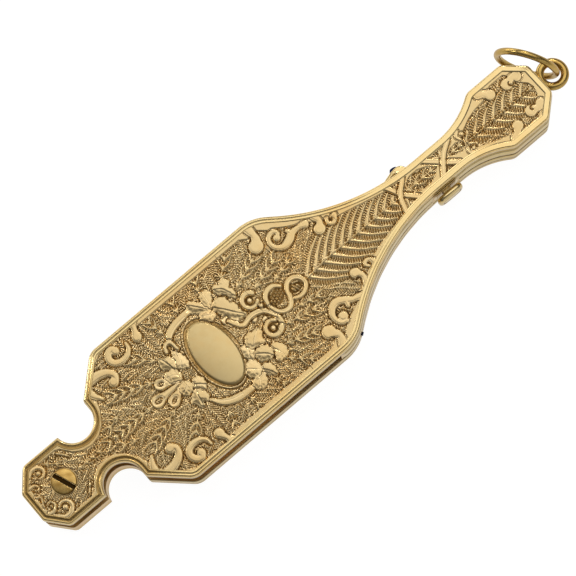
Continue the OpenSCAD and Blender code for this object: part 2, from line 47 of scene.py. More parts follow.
# Places on the case, in millimetres, as in the CAD source
PIVOT = -37.4
TIP_X, TIP_Y = -24.9, 9.4
NOTCH_X, NOTCH_Y, NOTCH_R = -29.0, 7.75, 4.1
END_X = 81.6
PIVOT_HALF, BODY_HALF, NECK_HALF, GRIP_HALF = 7.25, 15.8, 3.7, 7.1
EDGE_Z = 9.0
THICK = 9.6
SLOT_X = 17.7
BUTTON_X, BUTTON_Z = 54.4, 4.6
CATCH_X, CATCH_Y = 23.43, -13.69
OUTLINE_STEP = 0.22

# Levels of the chasing above EDGE_Z: the open ground and the bright metal
GROUND = 0.10
PLAIN = 0.47


# Outline of the covers
def unit(v):
    return v / np.linalg.norm(v)


def arc_corner(before, corner, after, radius):
    """Points of the arc that rounds a corner."""
    before, corner, after = (np.array(p[:2], float) for p in (before, corner, after))
    back, ahead = unit(before - corner), unit(after - corner)
    opening = math.acos(max(-1.0, min(1.0, float(back @ ahead))))
    setback = radius / math.tan(opening / 2)
    centre = corner + unit(back + ahead) * (radius / math.sin(opening / 2))
    first, last = corner + back * setback - centre, corner + ahead * setback - centre
    start, end = math.atan2(first[1], first[0]), math.atan2(last[1], last[0])
    turn = (end - start + math.pi) % (2 * math.pi) - math.pi
    count = max(3, int(abs(turn) * radius / 0.25))
    angles = [start + turn * i / count for i in range(count + 1)]
    return [centre + radius * np.array([math.cos(a), math.sin(a)]) for a in angles]


def case_outline():
    """Points in even steps round the covers, counterclockwise."""
    start = math.pi + math.asin((NOTCH_Y - PIVOT_HALF) / NOTCH_R)
    # x, half width and corner radius, from the pivot end past the round notch to the grip
    half = [(-45.05, 3.19, 1.0), (-41.6, PIVOT_HALF, 1.4)]
    for i in range(45):
        a = start + (2 * math.pi - start) * i / 44
        half.append((NOTCH_X + NOTCH_R * math.cos(a), NOTCH_Y + NOTCH_R * math.sin(a), 0))
    half += [(TIP_X, TIP_Y, 0.3), (-18.1, BODY_HALF, 3), (21.8, BODY_HALF, 9), (37.7, NECK_HALF, 44),
             (63.8, NECK_HALF, 17), (69.036, GRIP_HALF, 2.5), (77.55, GRIP_HALF, 1.5), (END_X, 3.45, 1.2)]
    ring = [(x, -y, r) for x, y, r in half] + half[::-1]
    corners = []
    for i, corner in enumerate(ring):
        if corner[2] > 0:
            corners += arc_corner(ring[i - 1], corner, ring[(i + 1) % len(ring)], corner[2])
        else:
            corners.append(np.array(corner[:2], float))
    p = np.array(corners)
    p = p[np.linalg.norm(np.roll(p, -1, 0) - p, axis=1) > 1e-6]
    closed = np.vstack([p, p[:1]])
    run = np.concatenate([[0], np.cumsum(np.linalg.norm(np.diff(closed, axis=0), axis=1))])
    at = np.linspace(0, run[-1], int(run[-1] / OUTLINE_STEP), endpoint=False)
    return np.column_stack([np.interp(at, run, closed[:, 0]), np.interp(at, run, closed[:, 1])])


OUTLINE = case_outline()
TANGENT = np.roll(OUTLINE, -1, 0) - np.roll(OUTLINE, 1, 0)
TANGENT /= np.linalg.norm(TANGENT, axis=1)[:, None]
INWARD = np.column_stack([-TANGENT[:, 1], TANGENT[:, 0]])


def distance_to_outline(q):
    along = np.roll(OUTLINE, -1, 0) - OUTLINE
    best = np.full(len(q), FAR)
    batch = 200
    for i in range(0, len(q), batch):
        rel = q[i:i + batch, None] - OUTLINE[None]
        t = np.clip((rel * along[None]).sum(2) / (along * along).sum(1)[None], 0, 1)
        best[i:i + batch] = np.sqrt(((rel - t[..., None] * along[None]) ** 2).sum(2)).min(1)
    return best


def inset_curve(inset):
    """The outline moved inwards, with its crossings at the corners closed up."""
    q = OUTLINE + INWARD * inset
    if inset <= 0.05:
        return q
    good = np.flatnonzero(distance_to_outline(q) > inset - 0.03)
    n = len(q)
    index = np.concatenate([good - n, good, good + n])
    kept = np.vstack([q[good]] * 3)
    at = np.arange(n)
    return np.column_stack([np.interp(at, index, kept[:, 0]), np.interp(at, index, kept[:, 1])])


# Curves and soft steps
def spline(points, steps=8, closed=False):
    """A smooth curve through points, with so many steps to each stretch."""
    p = np.array(points, float)
    if closed:
        p = np.vstack([p[-1:], p, p[:2]])
    elif len(p) < 3:
        return p
    else:
        p = np.vstack([2 * p[0] - p[1], p, 2 * p[-1] - p[-2]])
    curve = []
    for a, b, c, d in zip(p[:-3], p[1:-2], p[2:-1], p[3:]):
        for t in np.arange(steps) / steps:
            curve.append(0.5 * (2 * b + (c - a) * t + (2 * a - 5 * b + 4 * c - d) * t * t
                                + (3 * b - a - 3 * c + d) * t ** 3))
    return np.array(curve if closed else curve + [p[-2]])


def smooth(x):
    """A soft step from 0 to 1."""
    x = np.clip(x, 0, 1)
    return x * x * (3 - 2 * x)


def half_width(width, share, steps):
    """Half of a width given at even places along a line, read in steps and at a share of the way."""
    width = np.atleast_1d(width)
    at = np.linspace(0, 1, steps)
    return np.interp(share, at, np.interp(at, np.linspace(0, 1, len(width)), width)) / 2


def inside_polygon(xs, ys, corners):
    """Which points of a grid lie inside a polygon."""
    inside = np.zeros((len(xs), len(ys)), bool)
    for a, b in zip(corners, np.roll(corners, -1, 0)):
        rows = np.flatnonzero((a[1] > ys) != (b[1] > ys))
        if len(rows):
            crossing = (b[0] - a[0]) * (ys[rows] - a[1]) / (b[1] - a[1]) + a[0]
            inside[:, rows] ^= xs[:, None] < crossing
    return inside


class Relief:
    """A height field stamped with ribbons, ribs, leaves and cuts; its tone, which paints shade into grooves,
    cuts and hollows, runs from 0, dark, to 1.
    """

    def __init__(self, step):
        self.h = step
        self.xs = np.arange(-45.6, 82.2, step)
        self.ys = np.arange(-16.2, 16.2 + step / 2, step)
        shape = (len(self.xs), len(self.ys))
        self.z = np.full(shape, PLAIN)
        self.tone = np.ones(shape)
        self.open = np.zeros(shape)

    def window(self, points, pad):
        """The part of the field that holds the points, with a margin."""
        low, high = points.min(0) - pad, points.max(0) + pad
        return (slice(*np.searchsorted(self.xs, [low[0], high[0]])),
                slice(*np.searchsorted(self.ys, [low[1], high[1]])))

    def near(self, line, w):
        """Distance from a line, side of it, run along it and share of its length, over a window."""
        x, y = self.xs[w[0]][:, None], self.ys[w[1]][None]
        best = np.full((x.size, y.size), FAR)
        side, run = np.zeros_like(best), np.zeros_like(best)
        done = 0.0
        for a, b in zip(line[:-1], line[1:]):
            d = b - a
            length = math.hypot(*d)
            if length < 1e-9:
                continue
            t = np.clip(((x - a[0]) * d[0] + (y - a[1]) * d[1]) / length ** 2, 0, 1)
            dx, dy = x - a[0] - t * d[0], y - a[1] - t * d[1]
            distance = np.hypot(dx, dy)
            closer = distance < best
            best = np.where(closer, distance, best)
            side = np.where(closer, np.sign(d[0] * dy - d[1] * dx), side)
            run = np.where(closer, done + t * length, run)
            done += length
        return best, side, run, run / max(done, 1e-9)

    def inset(self, ring, w):
        """Distance inwards from a closed ring of points, and the run along it, over a window."""
        distance, _, run, _ = self.near(ring, w)
        inside = inside_polygon(self.xs[w[0]], self.ys[w[1]], ring)
        return np.where(inside, distance, -distance), run

    def blend(self, w, share, z, tone):
        """Brings height and tone nearer to z and tone."""
        self.z[w] = self.z[w] * (1 - share) + z * share
        self.tone[w] = self.tone[w] * (1 - share) + tone * share

    def sag(self, w, share, depth, dark):
        """Sinks the field along a line and paints shade into it by darkening."""
        self.z[w] -= depth * share
        self.tone[w] *= 1 - dark * share

    def paint(self, w, inside, z, groove, tone):
        """Puts down a form, given by the distance inwards from its edge, with a groove round it painted dark
        as shade.
        """
        self.blend(w, smooth(inside / 0.16 + 0.35), z, tone)
        if groove:
            self.sag(w, np.exp(-((inside + 0.14) / 0.11) ** 2), groove, 0.75)

    def band(self, points, width, dome=0.03, groove=0.16, tone=1.0):
        """A ribbon with a soft crown and a groove round it painted dark as shade."""
        line = spline(points)
        w = self.window(line, np.max(width) / 2 + 0.5)
        d, _, _, share = self.near(line, w)
        half = half_width(width, share, 60)
        self.paint(w, half - d, PLAIN + dome * (1 - np.minimum(1, (d / half) ** 2)), groove, tone)

    def blob(self, x, y, rx, ry=None, turn=0.0, level=PLAIN, dome=0.06, groove=0.16, tone=1.0):
        """An oval bead, its long way turned by so many degrees."""
        ry = rx if ry is None else ry
        c, s = math.cos(math.radians(turn)), math.sin(math.radians(turn))
        w = self.window(np.array([[x, y]]), max(rx, ry) + 0.5)
        dx, dy = self.xs[w[0]][:, None] - x, self.ys[w[1]][None] - y
        q = np.hypot((dx * c + dy * s) / rx, (-dx * s + dy * c) / ry)
        self.paint(w, (1 - q) * min(rx, ry), level + dome * (1 - np.minimum(1, q ** 2)), groove, tone)

    def ridge(self, points, width, level=0.40, tone=0.9):
        """A smooth rib standing on the open ground, tapering to its end."""
        line = spline(points, 6)
        w = self.window(line, width / 2 + 0.3)
        d, _, _, share = self.near(line, w)
        half = width / 2 * (1 - 0.55 * np.clip(share, 0, 1))
        m = smooth((half - d) / 0.12 + 0.45) * self.open[w]
        self.blend(w, m, level - 0.10 * (d / half) ** 2 * m, tone)

    def lobed(self, parts, dome=0.08, groove=0.16, tone=0.96):
        """One form made of joined lobes, (points, widths) each, with a fine line inside its edge, sunk a
        little and painted darker as shade.
        """
        reach = max(np.max(width) for _, width in parts) / 2 + 0.5
        w = self.window(np.vstack([np.array(points, float) for points, _ in parts]), reach)
        inside = np.full((w[0].stop - w[0].start, w[1].stop - w[1].start), -9.0)
        for points, width in parts:
            d, _, _, share = self.near(spline(points, 5), w)
            inside = np.maximum(inside, half_width(width, share, np.size(width)) - d)
        crown = smooth(inside / (0.45 * reach))
        line = np.exp(-((inside - 0.27) / 0.09) ** 2)
        self.paint(w, inside, PLAIN + 0.4 * dome * crown - 0.025 * line, groove, tone * (1 - 0.2 * line))

    def cut(self, points, width, depth=0.25, tone=0.1):
        """A cut along a line, painted dark as shade unless a tone is given."""
        line = spline(points)
        w = self.window(line, np.max(width) / 2 + 0.3)
        d, _, _, share = self.near(line, w)
        m = smooth((half_width(width, share, 40) - d) / 0.14 + 0.5)
        self.blend(w, m, np.minimum(self.z[w], PLAIN - depth), tone)

    def sink(self, corners, level=GROUND, edge=0.2, tone=0.1):
        """Lowers the inside of a polygon, paints it dark as the shade of the sunken ground, and opens it to
        the ground's leaves.
        """
        p = np.array(corners, float)
        w = self.window(p, 0.6)
        inset, _ = self.inset(np.vstack([p, p[:1]]), w)
        self.blend(w, smooth(inset / edge), np.minimum(self.z[w], level), tone)
        self.open[w] = np.maximum(self.open[w], smooth(inset / edge - 0.3))

    def lobe(self, corners, vein=(), level=PLAIN, tone=0.96, dome=0.08, tilt=0.0, notch=0.17):
        """A leaf's lobe: a rounded outline with notches, folded along its vein, with painted shade along the
        vein, on one half and in the groove round it.
        """
        p = np.array(corners, float)
        ring = spline(np.vstack([p, p[:1]]), 4)
        w = self.window(ring, 0.5)
        inset, run = self.inset(ring, w)
        inset -= notch * np.abs(np.cos(math.pi * run / 1.05)) ** 3
        z = level + dome * smooth(inset / 0.8)
        shade = np.full_like(z, tone)
        if len(vein):
            d, side, _, _ = self.near(spline(vein, 4), w)
            z += 0.6 * tilt * side * (1 - np.exp(-d / 0.3)) - 0.06 * np.exp(-(d / 0.12) ** 2)
            shade *= 1 - 0.35 * np.exp(-(d / 0.09) ** 2)
            shade -= 0.07 * (side < 0) * smooth(d / 0.2)
        self.paint(w, inset + 0.24, z, 0.08, shade)

    def blade(self, points, width, slant, tone, power, steps):
        """A leaflet hatched with barbs to both sides, only where the ground is open; its tone paints shade
        into the troughs of the hatching and the groove round it, and light on the crests.
        """
        line = spline(points, steps)
        w = self.window(line, width / 2 + 0.3)
        d, _, run, share = self.near(line, w)
        taper = np.sin(math.pi * np.clip(share * 0.93 + 0.05, 0, 1)) ** power
        half = np.maximum(0.05, width / 2 * taper)
        wave = 0.5 + 0.5 * np.cos(2 * math.pi * (run - slant * d) / 0.46)
        m = smooth((half - d) / 0.12 + 0.4) * self.open[w]
        self.blend(w, m, 0.07 + 0.28 * wave - 0.08 * (d / half) ** 2, tone + 0.62 * wave)
        self.sag(w, np.exp(-((half - d + 0.1) / 0.1) ** 2) * self.open[w], 0.13, 0.7)


# Meshes
def add_mesh(name, verts, faces, material, body, slot_name="gold", tone=None, flat=False):
    """A piece from points in millimetres and faces of one number of corners, with a tone at each point."""
    me = bpy.data.meshes.new(name)
    v = np.asarray(verts, dtype=np.float32) * MM
    f = np.asarray(faces, dtype=np.int32)
    corners = f.shape[1]
    me.vertices.add(len(v))
    me.vertices.foreach_set("co", v.ravel())
    me.loops.add(f.size)
    me.loops.foreach_set("vertex_index", f.ravel())
    me.polygons.add(len(f))
    me.polygons.foreach_set("loop_start", np.arange(0, f.size, corners, dtype=np.int32))
    me.polygons.foreach_set("loop_total", np.full(len(f), corners, dtype=np.int32))
    me.polygons.foreach_set("use_smooth", np.full(len(f), not flat))
    a = me.attributes.new("tone", "FLOAT", "POINT")
    a.data.foreach_set("value", np.ones(len(v), np.float32) if tone is None else np.asarray(tone, np.float32))
    me.update(calc_edges=True)
    me.validate()
    o = bpy.data.objects.new(name, me)
    bpy.context.scene.collection.objects.link(o)
    me.materials.append(material)
    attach(o, body)
    return o


def sheet_faces(n, m, wrap_n=False, wrap_m=False):
    """Quads of an n by m grid of points."""
    i = np.arange(n if wrap_n else n - 1)[:, None]
    j = np.arange(m if wrap_m else m - 1)[None]
    i2, j2 = (i + 1) % n, (j + 1) % m
    return np.stack([i * m + j, i2 * m + j, i2 * m + j2, i * m + j2], -1).reshape(-1, 4)


# Materials
def srgb(*rgb):
    """A color for the nodes from red, green and blue up to 255."""
    return tuple(c / 255 / 12.92 if c <= 10 else ((c / 255 + 0.055) / 1.055) ** 2.4 for c in rgb) + (1.0,)


def put(tree, socket, value):
    """Sets an input, or links it where the value is an output."""
    if isinstance(value, bpy.types.NodeSocket):
        tree.links.new(value, socket)
    else:
        socket.default_value = value


def add_node(tree, kind, **inputs):
    """A shader node with its inputs set by name, a space written as an underscore."""
    node = tree.nodes.new("ShaderNode" + kind)
    for name, value in inputs.items():
        put(tree, node.inputs[name.replace("_", " ")], value)
    return node


def calc(tree, operation, a, b, clamp=False):
    node = add_node(tree, "Math")
    node.operation = operation
    node.use_clamp = clamp
    put(tree, node.inputs[0], a)
    put(tree, node.inputs[1], b)
    return node.outputs[0]


def color_ramp(tree, value, stops):
    """A color for each value, from stops of (value, color) in rising order."""
    node = add_node(tree, "ValToRGB")
    put(tree, node.inputs[0], value)
    elements = node.color_ramp.elements
    elements[0].position, elements[1].position = stops[0][0], stops[-1][0]
    for position, _ in stops[1:-1]:
        elements.new(position)
    for element, (_, color) in zip(elements, stops):
        element.color = color
    return node.outputs[0]


def new_material(name):
    m = bpy.data.materials.new(name)
    m.use_nodes = True
    m.node_tree.nodes.clear()
    return m, m.node_tree


def use_shader(tree, shader):
    out = add_node(tree, "OutputMaterial")
    tree.links.new(shader.outputs[0], out.inputs[0])


def gold(name, ramp, rough=(0.14, 0.26), scratch=0.02, patch=0.05, level=None):
    """Metal whose color follows its tone, which carries painted shade, or one level, with hazy patches,
    tarnish specks and fine marks.
    """
    m, tree = new_material(name)
    at = add_node(tree, "TexCoord").outputs["Object"]
    tone = level
    if level is None:
        attribute = add_node(tree, "Attribute")
        attribute.attribute_name = "tone"
        tone = attribute.outputs["Fac"]
    haze = add_node(tree, "TexNoise", Vector=at, Scale=260, Detail=5, Roughness=0.62).outputs["Fac"]
    grain = add_node(tree, "TexNoise", Vector=at, Scale=2600, Detail=3).outputs["Fac"]
    tarnish = add_node(tree, "TexNoise", Vector=at, Scale=95, Detail=6, Roughness=0.7).outputs["Fac"]
    brushed = add_node(tree, "Mapping", Vector=at, Scale=(0.15, 1.0, 0.6), Rotation=(0, 0, 0.5)).outputs[0]
    marks = add_node(tree, "TexNoise", Vector=brushed, Scale=900, Detail=6, Distortion=1.5).outputs["Fac"]

    patches = calc(tree, "MULTIPLY", calc(tree, "SUBTRACT", haze, 0.5), patch * 3)
    specks = calc(tree, "MULTIPLY", calc(tree, "SUBTRACT", grain, 0.5), patch * 0.8)
    shade = calc(tree, "ADD", calc(tree, "ADD", tone, patches), specks, clamp=True)
    warm = add_node(tree, "Mix")
    warm.data_type = "RGBA"
    warm.blend_type = "MULTIPLY"
    above = calc(tree, "SUBTRACT", tarnish, 0.46, clamp=True)
    put(tree, warm.inputs[0], calc(tree, "MULTIPLY", above, 3.2, clamp=True))
    put(tree, warm.inputs[6], color_ramp(tree, shade, [(stop, srgb(*rgb)) for stop, rgb in ramp]))
    put(tree, warm.inputs[7], (1.0, 0.87, 0.68, 1.0))

    polish = calc(tree, "MULTIPLY", haze, rough[0] - rough[1])
    polish = calc(tree, "ADD", polish, rough[1] + 0.02, clamp=True)
    dull = calc(tree, "MULTIPLY", calc(tree, "SUBTRACT", 1.0, tone, clamp=True), 0.10)
    height = calc(tree, "ADD", calc(tree, "MULTIPLY", marks, 0.6), calc(tree, "MULTIPLY", grain, 0.4))
    bump = add_node(tree, "Bump", Strength=scratch * 10, Distance=0.00001, Height=height)
    use_shader(tree, add_node(tree, "BsdfPrincipled", Metallic=1.0, Base_Color=warm.outputs[2],
                              Roughness=calc(tree, "ADD", polish, dull, clamp=True), Normal=bump.outputs[0]))
    return m


def glass(name):
    """Clear glass with a faint, uneven haze."""
    m, tree = new_material(name)
    at = add_node(tree, "TexCoord").outputs["Object"]
    haze = add_node(tree, "TexNoise", Vector=at, Scale=140, Detail=4).outputs["Fac"]
    tint = color_ramp(tree, haze, [(0, (0.93, 0.96, 0.95, 1)), (1, (0.98, 0.99, 0.985, 1))])
    dull = add_node(tree, "MapRange", Value=haze, To_Min=0.0, To_Max=0.05).outputs[0]
    use_shader(tree, add_node(tree, "BsdfPrincipled", Transmission_Weight=1.0, IOR=1.5, Base_Color=tint,
                              Roughness=dull))
    return m


# Colors for each tone, from painted shade at 0 up to bright metal at 1
CHASED_TONES = [(0, (92, 68, 34)), (0.10, (161, 128, 75)), (0.28, (222, 190, 134)),
                (0.5, (238, 213, 162)), (0.8, (212, 186, 136)), (1, (200, 175, 126))]
BAND_TONES = [(0, (70, 50, 24)), (0.4, (158, 128, 74)), (0.8, (208, 182, 126)), (1, (216, 192, 138))]
WALL_TONES = [(0, (56, 42, 14)), (0.4, (142, 116, 52)), (0.8, (206, 177, 98)), (1, (216, 189, 112))]
SCREW_TONES = [(0, (50, 34, 12)), (0.5, (156, 120, 58)), (0.95, (206, 172, 104)), (1, (214, 184, 120))]
SATIN_TONES = [(0, (140, 112, 60)), (0.6, (186, 160, 106)), (1, (204, 181, 130))]
DARK_TONES = [(0, (80, 56, 22)), (0.5, (160, 128, 64)), (1, (212, 182, 110))]
PLATE_TONES = [(0, (90, 64, 26)), (0.6, (196, 160, 96)), (1, (226, 198, 140))]
STEEL_TONES = [(0, (60, 60, 62)), (1, (176, 176, 174))]
BLUED_TONES = [(0, (14, 18, 34)), (1, (38, 52, 92))]

CHASED = gold("chased_gold", CHASED_TONES, rough=(0.17, 0.30), patch=0.10)
POLISHED = gold("polished_gold", BAND_TONES, rough=(0.13, 0.24), scratch=0.008)
WALL = gold("wall_gold", WALL_TONES, scratch=0.008)
BRASSY = gold("screw_gold", SCREW_TONES, rough=(0.16, 0.30), patch=0.14, scratch=0.05)
SATIN = gold("satin_gold", SATIN_TONES, rough=(0.30, 0.40), patch=0.14, scratch=0.05)
DARK = gold("dark_gold", DARK_TONES, rough=(0.14, 0.28), patch=0.16, level=0.75)
STEEL = gold("brushed_steel", STEEL_TONES, rough=(0.22, 0.36), patch=0.10, level=0.8)
BLUED = gold("blued_steel", BLUED_TONES, rough=(0.20, 0.34), patch=0.12, level=0.5)
PLATE = gold("cover_gold", PLATE_TONES, rough=(0.24, 0.38), patch=0.12, level=0.85)
PALE = gold("pale_gold", BAND_TONES, rough=(0.18, 0.32), patch=0.08, level=0.92)
LOOK = {"gold": PLATE, "pale_gold": PALE, "dark_gold": DARK, "steel": STEEL, "brushed_steel": STEEL,
        "blued_steel": BLUED, "lens_glass": glass("lens_glass")}


def dress(name, obj):
    """Gives a CAD node the look of its slot; the spring lies in the shade under the button."""
    slots = obj.material_slots
    slot_name = slots[0].material.name.split(".")[0] if slots and slots[0].material else "gold"
    look = DARK if name == "button_spring" else LOOK.get(slot_name, PLATE)
    if not slots:
        obj.data.materials.append(look)
    for slot in slots:
        slot.material = look


for node_name, node_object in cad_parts.items():
    dress(node_name, node_object)


# Rims of the covers, each row its inset, its height and its height in the hollow round the pivot,
# and the tones of both: a rounded edge, two flat bands with a groove between, and a drop to the relief;
# the tones paint shade into the groove, the drop and the hollow round the pivot
RIM = [(0.00, 8.12, 8.12, 0.8, 0.8), (-0.05, 8.20, 8.20, 0.9, 0.8), (-0.06, 8.45, 8.45, 0.9, 0.8),
       (-0.02, 8.62, 8.62, 0.35, 0.5), (-0.04, 8.76, 8.76, 0.9, 0.8), (-0.035, 9.05, 9.05, 1.0, 0.9),
       (-0.02, 9.22, 9.22, 1.0, 1.0), (0.03, 9.38, 9.38, 1.0, 1.0), (0.12, 9.50, 9.50, 1.0, 1.0),
       (0.24, 9.575, 9.58, 1.0, 1.0), (0.40, 9.61, 9.61, 1.0, 1.0), (0.55, 9.585, 9.54, 0.95, 0.6),
       (0.63, 9.53, 9.51, 0.75, 0.35), (0.68, 9.50, 9.50, 0.5, 0.25), (0.73, 9.53, 9.51, 0.75, 0.25),
       (0.81, 9.58, 9.54, 0.95, 0.3), (0.98, 9.605, 9.55, 1.0, 0.4), (1.12, 9.60, 9.575, 1.0, 0.8),
       (1.22, 9.57, 9.57, 0.9, 0.9), (1.30, 9.46, 9.46, 0.45, 0.45), (1.36, 9.25, 9.25, 0.1, 0.1),
       (1.44, 9.03, 9.03, 0.0, 0.0)]


def along_case(stations):
    """A value for each point of the outline, from (x, value) stations."""
    return np.interp(OUTLINE[:, 0], *zip(*stations))


def rim_strip(name, front):
    n = len(OUTLINE)
    groove = along_case([(-45, 1), (-26, 1), (-19, 0.62), (38, 0.6), (44, 0.25), (64, 0.1), (82, 0.1)])
    plain = 1 - along_case([(-45, 1), (40, 1), (46, 0), (82, 0)])
    pivot_end_shade = along_case([(-45, 1), (-26, 1), (-19, 0), (82, 0)])
    hollow = along_case([(-45, 1), (-25.5, 1), (-20, 0), (82, 0)])
    verts, tones = [], []
    for inset, z, hollow_z, tone, hollow_tone in RIM:
        zz, tt = np.full(n, z), np.full(n, tone)
        if 0.6 < inset < 0.9:
            zz = 9.60 - (9.60 - z) * groove
            tt = 1 - (1 - tone) * groove
        if inset > 1.2:
            zz = zz + (np.interp(inset, [1.2, 1.44], [9.59, 9.44]) - zz) * plain
            tt = tt + (1 - tt) * plain
        zz = zz * (1 - hollow) + hollow_z * hollow
        tt = tt * (1 - hollow) + hollow_tone * hollow
        # painted shade: the mouldings at the pivot end are darkened, as the light falls off at that end
        if 0.3 < inset < 1.25:
            tt = tt * (1 - 0.34 * pivot_end_shade)
        verts.append(np.column_stack([inset_curve(inset), zz if front else THICK - zz]))
        tones.append(tt)
    f = sheet_faces(n, len(RIM), wrap_n=True)
    v = np.stack(verts, 1).reshape(-1, 3)
    add_mesh(name, v, f[:, ::-1] if front else f, POLISHED, "case", "gold", tone=np.stack(tones, 1).ravel())


rim_strip("front_rim_mouldings", True)
rim_strip("back_rim_mouldings", False)


# Open ground of the chasing
def mirror(points):
    return [(x, -y) for x, y in points]


LEFT_EDGE = [(-43.2, 3), (-41.2, 5.2), (-40.2, 5.7), (-35.2, 5.7), (-34.2, 5.3), (-32.6, 3.2), (-31, 2.2),
             (-29, 1.85), (-27, 2.3), (-25.2, 3.6), (-23.6, 6), (-22.8, 8.5), (-22.2, 10), (-20.5, 12.4),
             (-18.3, 13.7)]
UPPER_EDGE = [(-16.9, 14.45), (-9.3, 14.5), (-8.8, 13.9), (17.3, 13.9), (18.9, 12.9), (20.1, 14),
              (22.8, 11.7), (24.5, 10.9), (26, 9.9), (29, 8.3), (31, 7), (35, 5), (38, 4.3), (42, 3.3),
              (45.2, 2.6), (46, 0.4)]
LOWER_EDGE = [(45.2, -2.9), (41, -3.8), (37.5, -4.6), (35.5, -5.2), (33, -6.6), (30, -8), (28, -9.6),
              (25, -11), (22.8, -11.9), (20.3, -13.9), (18.9, -12.9), (17.3, -13.9), (-8.8, -13.9),
              (-9.3, -14.5), (-13, -14.45), (-16.9, -14.4)]
BODY_GROUND = [(-43.4, 0)] + LEFT_EDGE + UPPER_EDGE + LOWER_EDGE + mirror(LEFT_EDGE)[::-1]
PANELS = [
    [(62.4, 0.4), (62.6, 1.6), (64.2, 2.2), (66, 3.05), (68, 3.6), (70.4, 3.9), (71.4, 4.3), (72.8, 4.9),
     (73.2, 5.3), (76.5, 5.3), (77.2, 4.6), (77.8, 2.4), (79.3, 0.8), (79.6, -0.5), (79.1, -2.1), (78, -3.3),
     (77, -5.1), (76.2, -5.7), (73.6, -5.7), (72.6, -5.3), (70.5, -4.8), (68, -4.1), (66, -3.35), (64, -2.5),
     (62.6, -2), (62.4, -0.6)],
    [(47.2, 0.1), (48.3, 1.2), (50, 1.95), (52, 1.95), (54, 1.1), (55.4, -0.1), (54, -1.3), (52, -2),
     (50, -1.8), (48.3, -0.9)],
    [(57.9, 0.1), (59.5, 0.95), (61, 1.1), (62.4, 0.4), (62.4, -0.5), (61, -1.15), (59.5, -0.7)],
    [(46.1, 2.85), (48.4, 2.3), (47, 0.85)], [(46.4, -2.85), (48.7, -2.35), (47.2, -0.8)],
    [(54.9, 2.4), (58.6, 2.3), (56.7, 0.95)], [(55.2, -2.45), (58.6, -2.35), (56.9, -1.25)]]
GROUND_HALF = [[-43, -36, -29, -24, -18, 20, 30, 38, 62, 70, 76, 80],
               [5, 6.5, 3, 8, 15, 15, 9, 5, 3, 5.5, 6, 3]]


def feather_angle(x, y, gen):
    """The way a feather lies: in fans round the cartouche, and swept back on the taper and at the pivot."""
    if -24 < x < 24:
        out = math.atan2(y, x + 1)
        lean = 0.55 if math.sin(out * 6 + 0.25 * math.hypot(x, y)) > 0 else -0.55
        return out + lean + gen.uniform(-0.15, 0.15)
    if x >= 24:
        return (0.75 if y > 0 else -0.8) + gen.uniform(-0.1, 0.1)
    return math.pi + (0.6 if y < 0 else -0.6) + gen.uniform(-0.25, 0.25)


def grow_ground(r, gen):
    """Small feathers side by side over the whole ground; their tone paints shade into the troughs of the
    hatching and the grooves between feathers, and light on the crests and ribs.
    """
    apart = 1.75
    best, second = np.full(r.z.shape, 99.0), np.full(r.z.shape, 99.0)
    along, across, pitch = np.zeros(r.z.shape), np.zeros(r.z.shape), np.ones(r.z.shape)
    for i, column in enumerate(np.arange(-44, 80.5, apart)):
        limit = np.interp(column, *GROUND_HALF)
        for row in np.arange(-limit, limit + 0.1, apart):
            x = column + gen.uniform(-0.4, 0.4)
            y = row + 0.87 * (i % 2) + gen.uniform(-0.4, 0.4)
            a = feather_angle(x, y, gen)
            w = r.window(np.array([[x, y]]), 3.6)
            dx, dy = r.xs[w[0]][:, None] - x, r.ys[w[1]][None] - y
            u, v = dx * math.cos(a) + dy * math.sin(a), -dx * math.sin(a) + dy * math.cos(a)
            reach = np.hypot(u / 2.1, v)
            nearer = reach < best[w]
            second[w] = np.where(nearer, best[w], np.minimum(second[w], reach))
            best[w] = np.where(nearer, reach, best[w])
            along[w] = np.where(nearer, u + 9, along[w])
            across[w] = np.where(nearer, np.abs(v), across[w])
            pitch[w] = np.where(nearer, gen.uniform(0.46, 0.52), pitch[w])
    wave = 0.5 + 0.5 * np.cos(2 * math.pi * (along - 0.9 * across) / pitch)
    rib = np.exp(-(across / 0.12) ** 2)
    edge = np.exp(-((second - best) / 0.16) ** 2)
    z = 0.10 + 0.26 * wave * (1 - rib) + 0.26 * rib - 0.10 * edge
    tone = ((0.16 + 0.62 * wave) * (1 - rib) + 0.72 * rib) * (1 - 0.55 * edge)
    r.z += (z - r.z) * r.open
    r.tone += (tone - r.tone) * r.open


# Ferns
FERNS = [((-15.8, 0), (-27, 0), 2.3), ((-12.6, 3.4), (-20.5, 6.6), 2.2), ((-12.6, -3.2), (-20.5, -6), 2.2),
         ((-9.5, 6.2), (-13.2, 9.8), 1.9), ((-9.5, -6.4), (-13.2, -9.8), 1.9), ((-5.2, 9.2), (-6, 13.6), 1.9),
         ((-5.2, -9.8), (-6, -13.6), 1.8), ((-0.5, 10.4), (0, 13.6), 1.7), ((-0.5, -10.6), (0, -13.6), 1.6),
         ((5, 11), (6, 13.6), 1.5), ((5.4, -11), (6.4, -13.6), 1.5), ((9.6, 10), (13.8, 13.6), 2.1),
         ((9.6, -9.6), (13.8, -13.6), 2.1), ((11, 7), (17.6, 9.4), 2), ((11.2, -7.4), (17.4, -9.6), 2),
         ((13.6, 4.6), (20.6, 6.6), 2.1), ((13.6, -4.4), (20.6, -6.2), 2.1), ((17.4, 3.4), (22.6, 4.6), 1.3),
         ((17.6, -3.4), (22.8, -4.6), 1.3), ((-21.5, 3), (-25.5, 1.8), 1.4),
         ((-21.5, -3), (-25.5, -1.8), 1.4)]
NECK_FERNS = [((47.4, 0), (55, 0), 1.9), ((57.4, 0.1), (62.2, 0.2), 1.6)]
PIVOT_FERNS = [((-38.5, 5.2), (-35.5, 2.8), 1.0), ((-34, 0), (-28, 0), 1.2)]


